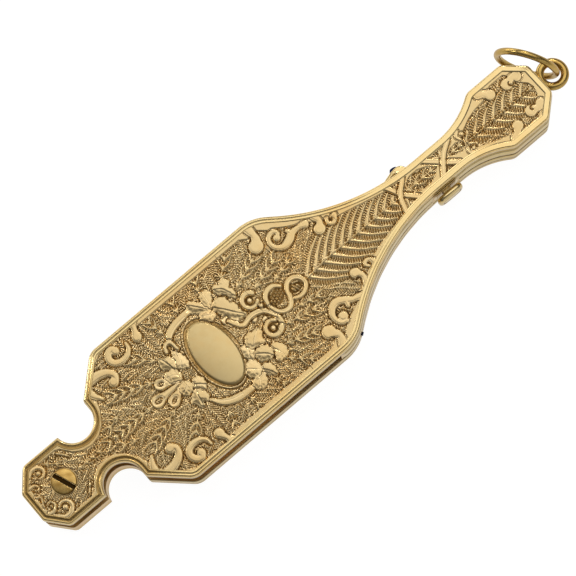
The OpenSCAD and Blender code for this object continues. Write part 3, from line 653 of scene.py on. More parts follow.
def fern(r, root, tip, width, rib=0.58):
    """A spine with leaflets to both sides, each a smooth rib in a hatched blade."""
    root, tip = np.array(root, float), np.array(tip, float)
    d = tip - root
    heading = math.atan2(d[1], d[0])
    count = max(2, int(round(math.hypot(*d) / 1.7)))
    leaflets = []
    for i in range(count):
        t = (i + 0.3) / count
        x, y = root + d * t
        n = width * 1.45 * (math.sin(math.pi * (0.18 + 0.80 * (1 - t))) ** 0.7)
        for side in (-1, 1):
            a = heading + side * 0.66
            bent = a - side * 0.22
            leaflets.append([(x, y), (x + math.cos(a) * n * 0.55, y + math.sin(a) * n * 0.55),
                             (x + math.cos(bent) * n, y + math.sin(bent) * n)])
    for leaflet in leaflets:
        r.blade(leaflet, 1.6, slant=0.5, tone=0.08, power=0.5, steps=3)
    for leaflet in leaflets:
        r.ridge(leaflet, rib, level=0.42, tone=0.92)
    r.ridge([root, (root + tip) / 2, tip], 0.35, level=0.42, tone=0.92)


def great_fern(r, start, end, pitch, limits, angles, y0, rib):
    """Leaflets from a midrib along the case out to its limits, at one angle above and one below."""
    leaflets = []
    for x in np.arange(start, end, pitch):
        limit = np.interp(x, *limits)
        for side, a in zip((1, -1), angles):
            n = limit / math.sin(a)
            leaflets.append([(x, y0), (x + math.cos(a) * n * 0.5, y0 + side * math.sin(a) * n * 0.52),
                             (x + math.cos(a * 0.85) * n, y0 + side * math.sin(a * 0.9) * n)])
    for leaflet in leaflets:
        r.blade(leaflet, pitch * 1.05, slant=0.3, tone=0.10, power=0.35, steps=5)
    for leaflet in leaflets:
        r.ridge(leaflet, rib, level=0.36, tone=0.8)


def taper_fern(r):
    limits = [[22, 26, 30, 34, 38, 45], [5.5, 6.6, 5.6, 4.3, 3.4, 2.2]]
    great_fern(r, 22.6, 45.0, 2.15, limits, (0.68, 0.80), y0=0.0, rib=0.8)
    r.ridge([(22.6, -0.4), (28, 0.1), (36, 0), (45.4, 0)], 0.35, level=0.44, tone=0.95)


def grip_fern(r):
    limits = [[62, 66, 70, 74, 77, 80], [1.2, 2.4, 3.6, 3.6, 2.6, 0.6]]
    great_fern(r, 62.6, 78.6, 2.3, limits, (0.80, 0.82), y0=-0.25, rib=0.75)
    r.ridge([(62.4, -0.25), (70, -0.3), (79.2, -0.3)], 0.4, level=0.44, tone=0.95)
    for x in np.arange(62.9, 78.6, 0.85):
        r.blob(x, -0.28, 0.3, 0.24, level=0.52, groove=0.05)


# Scrolls
def volutes(r, side):
    """The scrolls at the left of the body; side is 1 for the upper half and -1 for the lower."""
    def place(points):
        return [(x, side * y) for x, y in points]

    r.lobed([(place([(-14, 13), (-14.7, 13.6), (-15.7, 13.2), (-16.2, 12.1), (-15.7, 11), (-14.4, 10.5),
                     (-13, 10.7), (-12, 11.5), (-11.7, 12.7)]),
              [1.3, 1.5, 1.6, 1.55, 1.45, 1.35, 1.2, 1, 0.7]),
             (place([(-14.3, 12.9), (-14.2, 12.8)]), 1.7)], dome=0.06)
    r.cut(place([(-15.2, 12.2), (-14.4, 11.75), (-13.4, 11.7), (-12.6, 12.2)]), [0.3, 0.6, 0.75, 0.5])
    for k in range(5):
        r.blob(-14.5 + 0.42 * k, side * (11.75 + 0.04 * k), 0.11, 0.32, turn=-20 * side, level=0.30,
               dome=0.04, groove=0, tone=0.55)
    r.lobed([(place([(-9.4, 12.2), (-9.3, 12.3)]), 2.1),
             (place([(-9.2, 12.8), (-8.8, 13.7), (-8.4, 14.9)]), [1.6, 1.2, 1.8])])
    r.cut(place([(-10.7, 13.2), (-10.2, 13.9), (-9.4, 14.1)]), [0.2, 0.3, 0.2], depth=0.1)
    r.lobed([(place([(-21.6, 11.6), (-19.5, 11.3), (-17.9, 10.5), (-17.25, 9.2), (-17.8, 8.2)]),
              [2.2, 1.9, 1.7, 1.5, 1.3]), (place([(-18.3, 8.4), (-18.1, 8.4)]), 2)])
    r.cut(place([(-19.6, 9.8), (-18.6, 9.8), (-18.3, 9.5)]), [0.3, 0.35, 0.25])
    r.lobed([(place([(-23.2, 10.3), (-22.7, 8.6), (-21.8, 7.2)]), [1.9, 1.4, 0.7])], dome=0.05)
    # a bright stroke across the dark ground beside the bulb: a painted highlight
    r.cut(place([(-7.9, 13.2), (-7.1, 13.4)]), 0.2, depth=-0.02, tone=1.0)


def right_corner(r):
    """The scrolls where the body narrows into the taper, with their curls, thorns and tails."""
    r.lobed([([(19, 10.7), (19.2, 10.7)], 2.9), ([(19.4, 11), (20.1, 12.2), (20, 14.6)], [2.2, 1.5, 2])])
    r.cut([(17.8, 12.5), (18.5, 12.1), (18.9, 12.4)], [0.2, 0.35, 0.3])
    r.lobed([([(18.7, -11.1), (18.9, -11.2)], 2.8),
             ([(19.2, -11.6), (20, -12.9), (19.4, -14.6)], [2.1, 1.4, 1.9])])
    r.cut([(17.6, -12.4), (18.3, -12.2), (18.8, -12.6)], [0.2, 0.35, 0.3])
    r.lobed([([(23.9, 9.9), (23.75, 10.5), (23, 10.85), (21.9, 10.4), (21.45, 9.2), (21.9, 7.95), (23.2, 7.2),
               (24.8, 7.55), (26, 8.2), (27.4, 8.3), (29, 7.9)],
              [0.9, 1, 1.05, 1.1, 1.2, 1.35, 1.7, 1.75, 1.3, 1, 1.6]),
             ([(23.1, 9.4), (23.25, 9.35)], 1.35), ([(23.3, 9.5), (23.9, 9.9)], [1, 0.9]),
             ([(25.9, 8.4), (25.5, 9.2)], [1.1, 0.9])], dome=0.07)
    r.cut([(22.4, 10), (22.25, 9.2), (22.8, 8.4), (23.7, 8.3), (24.4, 8.8), (24.7, 9.6), (24.6, 10.3)],
          [0.2, 0.3, 0.35, 0.4, 0.45, 0.4, 0.3])
    r.lobed([([(22.9, -11.6), (21.8, -11.2), (21.3, -10.1), (21.5, -8.9), (22.5, -7.8), (23.8, -7.6),
               (25.1, -8.3), (26.3, -9.2), (28, -9.7)], [0.9, 1.1, 1.25, 1.4, 1.6, 1.6, 1.5, 1.2, 1.4]),
             ([(22.8, -10.5), (22.95, -10.5)], 1.9), ([(25.1, -8.8), (24.9, -9.5)], [1.1, 1])], dome=0.07)
    r.cut([(21.9, -10.2), (22.1, -9.4), (22.9, -9.1), (23.8, -9.4), (24.1, -10.2), (23.9, -11.2)],
          [0.2, 0.3, 0.4, 0.45, 0.4, 0.3])
    r.lobed([([(30.4, 5.35), (30.6, 5.35)], 2.3), ([(30.9, 5.7), (31.4, 6.6), (31.2, 8)], [1.6, 1.2, 1.8])])
    r.cut([(29.5, 6.8), (30.1, 6.6), (30.5, 6.9)], [0.2, 0.3, 0.2])
    r.lobed([([(29.9, -5.65), (30.1, -5.7)], 2.1),
             ([(30.4, -6), (30.8, -7), (30.4, -8.6)], [1.5, 1.15, 1.6])])
    r.cut([(29.2, -6.7), (29.7, -6.5), (30, -6.8)], [0.2, 0.3, 0.2])
    r.lobed([([(32.7, 5.9), (32.5, 5.2), (33.1, 4.6), (33.9, 4.8), (34.3, 5.6)], [0.8, 0.9, 0.9, 0.9, 1.2])],
            dome=0.07)
    r.cut([(33.3, 5.6), (33.5, 5.3)], 0.35)
    r.lobed([([(32.9, -6.3), (32.5, -5.7), (32.9, -5.2), (33.7, -5.3), (34.1, -6.2)],
              [0.7, 0.85, 0.85, 0.9, 1.3])], dome=0.07)


# Bouquet round the cartouche. Each leaf has an outline, a vein, a tone and a tilt; the tone is painted shade,
# lower on the leaves that turn from the light
LEAVES = [
    # upper left
    ([(-7.5, 5), (-6.7, 4.7), (-6, 5.6), (-5.1, 4.1), (-4.9, 2.5), (-5.5, 1.4), (-6.6, 1.9), (-7.6, 2.9),
      (-7.2, 4)], [(-6.9, 1.8), (-6, 3.2), (-5.6, 4.8)], 0.80, 0.10),
    ([(-9.7, 4), (-9.5, 5.3), (-8.8, 6.3), (-8.2, 5.5), (-7.3, 5.3), (-7.1, 4.3), (-7.6, 3), (-7.9, 2),
      (-8.5, 3.3)], [(-7.8, 1.9), (-8.2, 4), (-8.7, 5.9)], 0.97, -0.12),
    ([(-10.3, 2), (-10.1, 2.9), (-9.3, 3.1), (-8.5, 2.9), (-7.8, 2.1), (-7.6, 1), (-8.2, 0.3), (-9, 0.9),
      (-9.9, 1.2)], [(-7.8, 0.9), (-8.8, 1.9), (-10, 2.3)], 1.0, 0.08),
    # lower left
    ([(-7.4, -2.3), (-6.8, -1.3), (-5.7, -1.1), (-4.9, -2), (-5.1, -3.2), (-5.8, -4), (-7, -3.5)],
     [(-7.1, -1.9), (-5.9, -2.8), (-5.3, -3.4)], 0.78, 0.08),
    ([(-9.7, -4.5), (-8.8, -3.6), (-7.8, -2.9), (-6.8, -3.6), (-6.1, -4.7), (-6.4, -5.8), (-7.2, -5.9),
      (-7.7, -5.3), (-8.1, -6.5), (-8.9, -5.8), (-9, -5)],
     [(-7.4, -2.8), (-7.8, -4.2), (-8.1, -5.9)], 0.97, 0.12),
    ([(-9.8, -2), (-9.5, -0.9), (-8.5, -0.3), (-7.5, -0.6), (-7.2, -1.7), (-8, -2.6), (-9.2, -2.8)],
     [(-7.5, -0.9), (-8.4, -1.5), (-9.4, -2)], 1.0, -0.06),
    # upper right
    ([(1.9, 6.2), (2.2, 7.4), (3.3, 7.9), (4.5, 7.2), (4.9, 6), (4.2, 5.3), (3, 5.3)],
     [(4.4, 6), (3.4, 6.6), (2.5, 7.1)], 0.80, 0.05),
    ([(1.3, 10), (1.7, 10.8), (2.6, 10.8), (3.4, 10), (4.1, 9), (4.6, 7.8), (4.6, 7), (3.6, 7.5), (2.5, 8.1),
      (1.5, 8.8)], [(4.5, 7.2), (3.3, 8.7), (2.1, 10.2)], 0.92, -0.13),
    ([(4.3, 8.7), (4.4, 10), (5.2, 10.8), (6.2, 10.5), (6.7, 9.6), (6.1, 8.6), (5.6, 7.7), (5, 7.2)],
     [(5, 7.5), (5.3, 9), (5.4, 10.2)], 0.97, 0.12),
    ([(5.2, 4.5), (6, 4.5), (6.7, 3.4), (7.3, 2.4), (7, 1.5), (6, 1.8), (5.3, 2.4), (4.9, 3.6)],
     [(5.6, 4.3), (6, 3), (6.6, 1.9)], 0.84, 0.10),
    ([(5.1, 6.8), (5.9, 7.7), (7, 7.8), (8.1, 7.1), (8.2, 5.8), (9, 4.8), (8.8, 3.4), (9.4, 1.8), (8.3, 1.9),
      (7.3, 2.4), (6.2, 3.7), (5.5, 5.1)], [(5.3, 6.9), (6.6, 5.3), (7.6, 3.9), (8.9, 2.2)], 1.0, 0.10),
    ([(7.3, 9.5), (8, 10.2), (8.8, 9.7), (9.5, 10.2), (10.5, 9.8), (10.8, 8.8), (10, 8.2), (10.4, 7),
      (9.8, 5.8), (9.1, 6.5), (8.6, 7.7), (7.6, 8.4)], [(8, 9.3), (8.9, 8.5), (9.6, 6.9)], 0.90, 0.10),
    # lower right
    ([(4, -2.3), (4.8, -2.6), (5.8, -2.2), (6.1, -3.6), (5.6, -5), (4.4, -5.5), (3.7, -4.2)],
     [(5.6, -2.8), (4.9, -4), (4.4, -4.9)], 0.78, 0.06),
    ([(5.3, -2.7), (6, -1.6), (7, -1.2), (8, -1.6), (9, -1.4), (9.3, -2.7), (8.6, -3.3), (8.6, -4.2),
      (7.6, -4.7), (6.7, -4.1), (6, -4)], [(6.2, -3.9), (7.3, -2.8), (8.6, -1.9)], 1.0, 0.10),
    ([(8.6, -6.1), (9.6, -5.8), (10.4, -6.6), (10.9, -7.8), (10.3, -9.1), (9.4, -9.3), (8, -9.1), (8.2, -8.1),
      (8.7, -7.4)], [(8.7, -6.4), (9.4, -7.7), (9.6, -8.8)], 0.94, -0.12),
    ([(5.3, -5.7), (6, -4.8), (7.2, -4.7), (8.3, -5.3), (8.5, -6.6), (7.7, -7.7), (6.3, -7.3), (5.4, -6.7)],
     [(5.8, -5.3), (6.9, -6.2), (7.7, -7)], 0.99, 0.08),
    ([(4.3, -8), (5.2, -7.7), (6.3, -8), (6.8, -9.3), (6.3, -10.8), (5.4, -10.1), (4.5, -9.1)],
     [(4.6, -8.1), (5.4, -9.1), (6, -10.2)], 0.90, 0.12),
    ([(1.6, -9), (2.7, -8.6), (4, -8.2), (4.4, -9.6), (3.7, -10.8), (2.4, -11.1), (1.5, -10.3)],
     [(3.8, -8.5), (3, -9.6), (2.3, -10.6)], 0.97, -0.10),
    ([(1.8, -6.4), (2.3, -5.6), (3.6, -5.4), (4.7, -6), (4.9, -7.3), (4.3, -8.4), (3, -8.7), (2, -7.8)],
     [(4.2, -7.9), (3.3, -7), (2.5, -6.3)], 0.86, 0.05)]


def stems(r):
    """The garland's stems, and a ring of sunken ground, painted dark as shade, full of small beads round the
    cartouche.
    """
    r.band([(-5.9, 6), (-5.3, 7.5), (-4, 8.7), (-2, 9.3), (0, 9.5), (1.4, 9.6)], [0.7, 1.5, 1.6, 1.2])
    r.cut([(-5.5, 6.2), (-4.9, 7.4), (-3.7, 8.4), (-2, 9), (0, 9.2)], 0.14, depth=0, tone=0.55)
    r.band([(-6.4, -6.3), (-5.1, -8), (-3.2, -9.1), (-1, -9.6), (1, -9.7)], [0.8, 1.5, 1.6, 1.2])
    r.cut([(-6.1, -6.6), (-5, -7.8), (-3.2, -8.9), (-1, -9.4)], 0.14, depth=0, tone=0.55)
    turns = np.linspace(0, 2 * math.pi, 40, endpoint=False)
    r.sink([(5.1 * math.cos(a) - 0.2, 8.4 * math.sin(a)) for a in turns], level=0.14, tone=0.12)
    golden_angle, golden_share = 2.399963, 0.618034
    for i in range(170):
        a = golden_angle * i
        share = (i * golden_share) % 1
        r.blob(4.25 * (1 + 0.17 * share) * math.cos(a) - 0.1, 7.45 * (1 + 0.12 * share) * math.sin(a), 0.17,
               level=0.22, dome=0.1, groove=0, tone=0.34)


def petal(r, tip, base, eye_at, wide, eye):
    """A loop of ribbon round a sunken hatched eye, painted dark as shade."""
    (x, y), (bx, by) = tip, base
    n = math.hypot(bx - x, by - y)
    ux, uy = (bx - x) / n, (by - y) / n
    half = [(0, 0), (0.25, 0.72), (0.9, 1), (1.7, 0.85), (2.6, 0.5), (n * 0.7, 0.28), (n, 0.12)]
    ring = [(x + ux * a - uy * b * wide, y + uy * a + ux * b * wide) for a, b in half]
    ring += [(x + ux * a + uy * b * wide, y + uy * a - ux * b * wide) for a, b in half[:0:-1]]
    r.lobe(ring, level=PLAIN + 0.02, tone=0.97, dome=0.05, notch=0)
    px, py = x + ux * eye_at, y + uy * eye_at
    turn = math.degrees(math.atan2(uy, ux))
    r.blob(px, py, *eye, turn=turn, level=0.12, dome=0, groove=0.05, tone=0.08)
    for k in (-1, 0, 1):
        r.blob(px + ux * 0.42 * k, py + uy * 0.42 * k, 0.13, eye[1] * 0.75, turn=turn + 25, level=0.30,
               dome=0.05, groove=0, tone=0.6)


def bouquet(r):
    petal(r, (-15.35, 0), (-8.6, 0.05), 1.35, 1.12, (0.85, 0.58))
    petal(r, (-12.75, 2.7), (-8.2, 0.4), 1.15, 0.95, (0.68, 0.45))
    petal(r, (-12.75, -2.4), (-8.2, -0.3), 1.2, 0.98, (0.75, 0.45))
    r.band([(-7, 6.2), (-6.5, 7.2), (-5.7, 7.5), (-5.1, 6.9), (-5, 5.4)], [0.9, 0.9, 0.8, 0.9], dome=0.05,
           tone=0.85)
    # a sunken hollow painted dark as shade
    r.blob(-6.0, 6.5, 0.45, 0.6, level=0.15, dome=0, groove=0, tone=0.1)
    for outline, vein, tone, tilt in LEAVES:
        r.lobe(outline, vein, level=PLAIN - 0.02, tone=tone, tilt=tilt)
    # three sunken spots whose lower tone is painted shade
    for x, y in ((5.3, 3.6), (9.8, 0.1), (11.3, -1.2)):
        r.blob(x, y, 0.7, 0.5, turn=30, level=0.35, dome=0.03, tone=0.5)


def tendrils(r):
    """The curling tendrils right of the bouquet, and the seed pods in their coils."""
    r.band([(11.7, -5), (13, -4.5), (13.5, -3), (13.2, -1.3), (12.2, 0.2), (10.8, 0.9), (9.2, 1), (7.8, 0.6),
            (7, 0.9), (6.3, 2), (5.8, 3)], [0.9, 1.15, 1.15, 1.15, 1, 0.8])
    r.cut([(12.4, -4.7), (13.3, -3), (13.1, -1.3), (12.1, 0.1), (10.8, 0.8), (9.2, 0.9), (7.6, 0.6)], 0.14,
          depth=0, tone=0.6)
    # in each coil a sunken hollow painted dark as shade, round a dimmer bead
    for y in (3.5, -3.5):
        turns = np.linspace(0.6 * np.sign(y), 5.6 * np.sign(y), 14)
        r.blob(11.45, y, 1.2, level=0.14, dome=0, groove=0, tone=0.2)
        r.band([(11.45 + 1.5 * math.cos(a), y + 1.5 * math.sin(a)) for a in turns], [1.15, 1, 0.8])
        r.blob(11.4, y, 0.5, level=0.36, groove=0.1, tone=0.5)
    r.blob(12.4, 1.3, 0.5)
    # the pod's sunken hollow, painted dark as shade
    r.blob(15.8, 0.6, 2.05, 1.35, turn=25, level=0.12, dome=0, groove=0.05, tone=0.05)
    r.band([(13.5, 0.2), (14, 1.9), (15.2, 2.8), (16.6, 2.7), (17.6, 1.8)], [0.8, 1.1, 1.1, 0.8])
    r.band([(13.6, -0.2), (14.4, -1.9), (15.8, -2.6), (17, -2.2), (17.7, -1), (18.2, 0.6), (19.2, 1.5),
            (20.5, 1.5), (21.6, 0.5), (21.7, -0.9), (20.7, -1.9), (19.3, -2.2), (18.2, -1.8)],
           [0.8, 1.1, 1.1, 1, 0.8])
    r.cut([(14, -1.2), (15, -2.4), (16.4, -2.5), (17.5, -1.4), (18.2, 0.5), (19.2, 1.4), (20.5, 1.4),
           (21.5, 0.4), (21.5, -0.9), (20.6, -1.8)], 0.14, depth=0, tone=0.6)
    # a second sunken hollow, painted dark as shade
    r.blob(19.7, -0.35, 1.4, 1.0, level=0.12, dome=0, groove=0, tone=0.05)
    for k in (-1, 0, 1):
        r.blob(19.7 + 0.55 * k, -0.35, 0.2, 0.5 if k else 0.75, turn=20, level=0.34, groove=0, tone=0.75)
    for i in range(5):
        for j in range(3):
            u, v = (i - 2) * 0.62 + (j % 2) * 0.31, (j - 1) * 0.62
            c, s = math.cos(0.436), math.sin(0.436)
            if (u / 1.7) ** 2 + (v / 1.05) ** 2 < 1:
                r.blob(15.8 + u * c - v * s, 0.6 + u * s + v * c, 0.2, level=0.34, dome=0.08, groove=0,
                       tone=0.75)


# Neck, grip and pivot end
NECK_RIBBONS = [[(45.3, 2.9), (46.4, 0.7), (47.2, -0.5), (48.9, -2.4)],
                [(48.7, 2.4), (46.3, 0.1), (45.1, -3)],
                [(54, 2.4), (56, 0.5), (57, -0.5), (59.2, -2.4)],
                [(60.2, 2.5), (58, 1), (56.5, -0.6), (55.1, -2.5)]]


def neck_ribbons(r):
    """Ribbons crossing in the neck, each with a light line."""
    for points in NECK_RIBBONS:
        r.band(points, 1.05, groove=0.2)
        r.cut(points, 0.12, depth=0, tone=0.6)


def grip_scrolls(r, side, shift):
    """The scrolls along one side of the grip."""
    def place(points):
        return [(x, y * side + shift) for x, y in points]

    r.lobed([(place([(72.2, 3.85), (72.3, 3.85)]), 2.2),
             (place([(71.8, 4.2), (71.2, 4.9), (70.4, 5.4)]), [1.6, 1.4, 1.8])])
    r.lobed([(place([(76, 3.3), (76.1, 3.3)]), 2.4),
             (place([(76.6, 3.4), (77.5, 3.7), (78.4, 3.4)]), [1.6, 1.5, 2.2])])
    r.cut(place([(77.3, 2.5), (76.8, 2.5), (76.3, 2.9), (76.5, 3.4)]), [0.35, 0.35, 0.3, 0.2])
    r.lobed([(place([(62.6, 2.6), (61.9, 1.8), (62.2, 0.9)]), [0.7, 0.6, 0.5]),
             (place([(63, 1.6), (63.2, 1.5)]), 0.7)], dome=0.05)


# Curls beside the pivot: a path with its widths, and an eye (x, y, width) at its end
CURLS = [([(-41.9, 4.7), (-40.9, 5.5), (-39.6, 5.3), (-39, 4.2), (-39.7, 3.3), (-40.7, 3.4)],
          [0.5, 0.8, 0.9, 0.7, 0.5], (-40.2, 4.3, 0.9)),
         ([(-43.2, 3.2), (-42.2, 3), (-41.7, 2.2), (-42.3, 1.6)], [0.7, 0.6, 0.45, 0.4], (-42.6, 2.1, 0.45)),
         ([(-43.3, 1), (-42.6, 0.4), (-43, -0.6), (-43.3, -1.4)], [0.5, 0.45, 0.4], None),
         ([(-43.2, -3), (-42.2, -3.1), (-41.4, -2.3), (-41.8, -1.3), (-42.6, -1.4)], [0.7, 0.7, 0.5, 0.4],
          (-42.2, -2.1, 0.5)),
         ([(-42.2, -4.3), (-41.4, -5.3), (-40.1, -5.4), (-39, -4.5), (-39.2, -3.2), (-40.3, -2.7),
           (-41.2, -3.2)], [0.6, 0.9, 1, 0.9, 0.6, 0.5], (-40.3, -4, 1.1))]


def pivot_end(r):
    # painted shade: the curls and the bands below get a lower tone, as the light falls off at the pivot end
    for path, widths, eye in CURLS:
        parts = [(path, widths)]
        if eye:
            x, y, width = eye
            parts.append(([(x, y), (x + 0.1, y)], width))
        r.lobed(parts, dome=0.06, groove=0.14, tone=0.8)
    for side in (1, -1):
        r.band([(-35.2, 5 * side), (-34.2, 3.9 * side), (-33.6, 3 * side)], [0.4, 0.5, 0.3], groove=0.1,
               tone=0.7)
    for x, y in ((-33.5, -1.2), (-34.0, -3.8), (-36.2, 4.6), (-38.4, -5.2)):
        r.blob(x, y, 0.5, 0.22, turn=20, level=0.46, groove=0.05)


def chase(step, seed):
    """The whole relief of one cover, worked from the ground up."""
    r = Relief(step)
    r.sink(BODY_GROUND, edge=0.25)
    for panel in PANELS:
        r.sink(panel)
    grow_ground(r, np.random.default_rng(seed))
    for root, tip, width in FERNS:
        fern(r, root, tip, width)
    taper_fern(r)
    for root, tip, width in NECK_FERNS:
        fern(r, root, tip, width)
    grip_fern(r)
    for root, tip, width in PIVOT_FERNS:
        fern(r, root, tip, width, rib=0.35)
    volutes(r, 1)
    volutes(r, -1)
    right_corner(r)
    stems(r)
    bouquet(r)
    tendrils(r)
    neck_ribbons(r)
    grip_scrolls(r, 1, 0)
    grip_scrolls(r, -1, -0.4)
    pivot_end(r)
    return r


# Relief of the covers as meshes
def outline_inset(xs, ys):
    """Distance inwards from the outline to each point of a grid, measured no further than reach."""
    reach = 2.0
    best = np.full((len(xs), len(ys)), reach)
    for a, b in zip(OUTLINE, np.roll(OUTLINE, -1, 0)):
        low, high = np.minimum(a, b) - reach, np.maximum(a, b) + reach
        w = tuple(slice(*np.searchsorted(axis, [low[k], high[k]])) for k, axis in enumerate((xs, ys)))
        x, y = xs[w[0]][:, None], ys[w[1]][None]
        d = b - a
        t = np.clip(((x - a[0]) * d[0] + (y - a[1]) * d[1]) / (d @ d), 0, 1)
        best[w] = np.minimum(best[w], np.hypot(x - a[0] - t * d[0], y - a[1] - t * d[1]))
    return np.where(inside_polygon(xs, ys, OUTLINE), best, -best)


def box_blur(z, k):
    """The mean over k cells to each side."""
    total = np.pad(np.cumsum(np.cumsum(np.pad(z, k, mode="edge"), 0), 1), ((1, 0), (1, 0)))
    n = 2 * k + 1
    return (total[n:, n:] - total[:-n, n:] - total[n:, :-n] + total[:-n, :-n]) / n ** 2


def cell_corners(grid):
    """Views of the four corners of each cell of a grid."""
    return grid[:-1, :-1], grid[1:, :-1], grid[1:, 1:], grid[:-1, 1:]


def relief_mesh(prefix, r, front, cuts):
    """Pieces of the relief between cuts along the case, inside the rim and round cartouche and screw."""
    def oval(x, rx=1.0, ry=1.0):
        return np.hypot((r.xs[:, None] - x) / rx, r.ys[None] / ry)

    keep = (outline_inset(r.xs, r.ys) > 1.14) & (oval(0, 4.0, 7.2) > 1) & (oval(PIVOT) > 2.55)
    # the bare level dips to a fine line against the cartouche and the screw
    z = np.where(oval(0, 4.25, 7.5) < 1, np.minimum(r.z, 0.1), r.z)
    z = np.clip(np.where(oval(PIVOT) < 2.75, 0.08, z), 0.06, 0.56)
    # painted shade and light: the tone is lowered in hollows and raised on crests, by the height below the
    # local mean
    hollow = box_blur(z, max(1, int(0.35 / r.h))) - z
    tone = np.clip(r.tone - 2.2 * np.clip(hollow, -0.06, 0.3), 0, 1)
    for k, (start, end) in enumerate(zip(cuts[:-1], cuts[1:])):
        rows = np.flatnonzero((r.xs >= start - r.h) & (r.xs <= end + r.h * 0.01))
        whole = np.logical_and.reduce(cell_corners(keep[rows]))
        used = np.zeros(keep[rows].shape, bool)
        for corner in cell_corners(used):
            corner |= whole
        index = np.full(used.shape, -1)
        index[used] = np.arange(used.sum())
        f = np.stack(cell_corners(index), -1)[whole]
        x, y = np.meshgrid(r.xs[rows], r.ys, indexing="ij")
        height = EDGE_Z + z[rows]
        v = np.column_stack([x[used], y[used], (height if front else THICK - height)[used]])
        add_mesh("%s_%d" % (prefix, k + 1), v, f if front else f[:, ::-1], CHASED, "case", "gold",
                 tone=tone[rows][used])


relief_mesh("front_chasing", chase(0.10, 11), True, [-45.6, -8, 12, 34, 82.2])
relief_mesh("back_chasing", chase(0.16, 23), False, [-45.6, 5, 82.2])


# Cartouches and pivot screw
def cartouche(name, node, front):
    """A satin dome with a soft edge, inside a dark line: a groove painted dark as shade."""
    n, rings = 96, 22
    half_x, half_y = 4.03, 7.28
    a = 2 * math.pi * np.arange(n) / n
    out = np.sin(np.arange(rings + 1)[:, None] / rings * math.pi / 2)
    edge = (1 - out) * half_x
    x, y = half_x * out * np.cos(a), half_y * out * np.sin(a)
    z = 9.42 + 0.19 * (1 - out * out) - 0.16 * np.exp(-(edge / 0.16) ** 2) + 0 * x
    tone = 1.0 - 0.75 * np.exp(-(edge / 0.14) ** 2) + 0 * x
    x, y = np.vstack([x, 4.05 * np.cos(a)]), np.vstack([y, 7.3 * np.sin(a)])
    z, tone = np.vstack([z, np.full(n, 9.05)]), np.vstack([tone, np.zeros(n)])
    v = np.stack([x, y, z if front else THICK - z], -1).reshape(-1, 3)
    f = sheet_faces(rings + 2, n, wrap_m=True)
    o = add_mesh(name, v, f if front else f[:, ::-1], SATIN, "case", "pale_gold", tone=tone.ravel())
    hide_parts(node)


def screw_head():
    """A low mottled dome with a slot, standing on the pivot; the slot and a ring round its edge are painted
    dark as shade.
    """
    n, rings = 96, 30
    radius, slot_half = 2.45, 0.47
    slot_angle = math.radians(-70)
    a = 2 * math.pi * np.arange(n) / n
    out = radius * np.minimum(1.0, np.arange(rings + 1) / (rings - 2))[:, None]
    edge = radius - out
    x, y = out * np.cos(a), out * np.sin(a)
    z = 9.76 - 0.12 * (out / radius) ** 2 - 0.03 * np.exp(-(edge / 0.18) ** 2) + 0 * x
    z[-2], z[-1] = 9.40, 9.00
    slot = smooth((slot_half - np.abs(-x * math.sin(slot_angle) + y * math.cos(slot_angle))) / 0.10)
    z = z * (1 - slot) + np.minimum(z, 9.06) * slot
    mottle = 0.80 + 0.12 * np.sin(2.3 * x + 1.1) * np.cos(1.9 * y) + 0.08 * np.sin(4.1 * y + 2 * x)
    tone = (1 - slot) * (mottle - 0.6 * np.exp(-(edge / 0.12) ** 2))
    v = np.stack([PIVOT + x, y, z], -1).reshape(-1, 3)
    add_mesh("pivot_screw_head", v, sheet_faces(rings + 1, n, wrap_m=True), BRASSY, "case", "pale_gold",
             tone=tone.ravel())


cartouche("front_cartouche_dome", "front_cartouche", True)
cartouche("back_cartouche_dome", "back_cartouche", False)
screw_head()


# Walls: rows of height, stand-off and tone, with fine grooves and the seam between the covers; the tone
# paints shade into the grooves and where the wall rounds over at top and bottom, and is dark at the seam
FRONT_WALL = [(8.12, 0, 0.2), (8.02, 0.07, 0.6), (7.75, 0.12, 0.8), (7.6, 0.075, 0.05), (7.38, 0.075, 0.05),
              (7.2, 0.12, 0.8), (6.8, 0.13, 0.9), (5.6, 0.135, 0.85), (5, 0.125, 0.75), (4.75, 0.10, 0.6),
              (4.6, 0.07, 0.05), (4.42, -0.02, 0)]
BACK_WALL = [(4.38, -0.02, 0), (4.22, 0.07, 0.05), (4.05, 0.10, 0.6), (3.8, 0.125, 0.75), (2.8, 0.135, 0.85),
             (2.3, 0.125, 0.8), (2.12, 0.075, 0.05), (1.98, 0.075, 0.05), (1.85, 0.11, 0.7), (1.6, 0.07, 0.6),
             (1.48, 0, 0.2)]


def wall_skin(name, rows, slotted):
    """A skin on the wall, lying flat at its ends, round the button and over the catch pin."""
    x, y = OUTLINE[:, 0], OUTLINE[:, 1]
    shown = x > -25.15
    if slotted:
        shown &= (y > 0) | (x > SLOT_X + 0.25)
    start = np.flatnonzero(shown & ~np.roll(shown, 1))[0]
    order = (start + np.arange(shown.sum())) % len(OUTLINE)
    x, y = x[order], y[order]
    run = np.arange(len(order)) * OUTLINE_STEP
    lift = smooth(np.minimum(run, run[::-1]) / 0.8)
    at_button = (np.abs(x - BUTTON_X) < 3.5) & (y < 0)
    at_catch = np.hypot(x - CATCH_X, y - CATCH_Y) < 0.8
    verts, tones = [], []
    for z, stand_off, tone in rows:
        out = stand_off * lift
        if 2.3 < z < 6.9:
            out = np.where(at_button, -0.02, out)
        if 2.4 < z < 4.6:
            out = np.where(at_catch, -0.02, out)
        verts.append(np.column_stack([OUTLINE[order] - INWARD[order] * out[:, None], np.full(len(order), z)]))
        tones.append(np.full(len(order), tone))
    f = sheet_faces(len(order), len(rows))
    v = np.stack(verts, 1).reshape(-1, 3)
    add_mesh(name, v, f[:, ::-1], WALL, "case", "gold", tone=np.stack(tones, 1).ravel())


wall_skin("front_wall_skin", FRONT_WALL, True)
wall_skin("back_wall_skin", BACK_WALL, False)


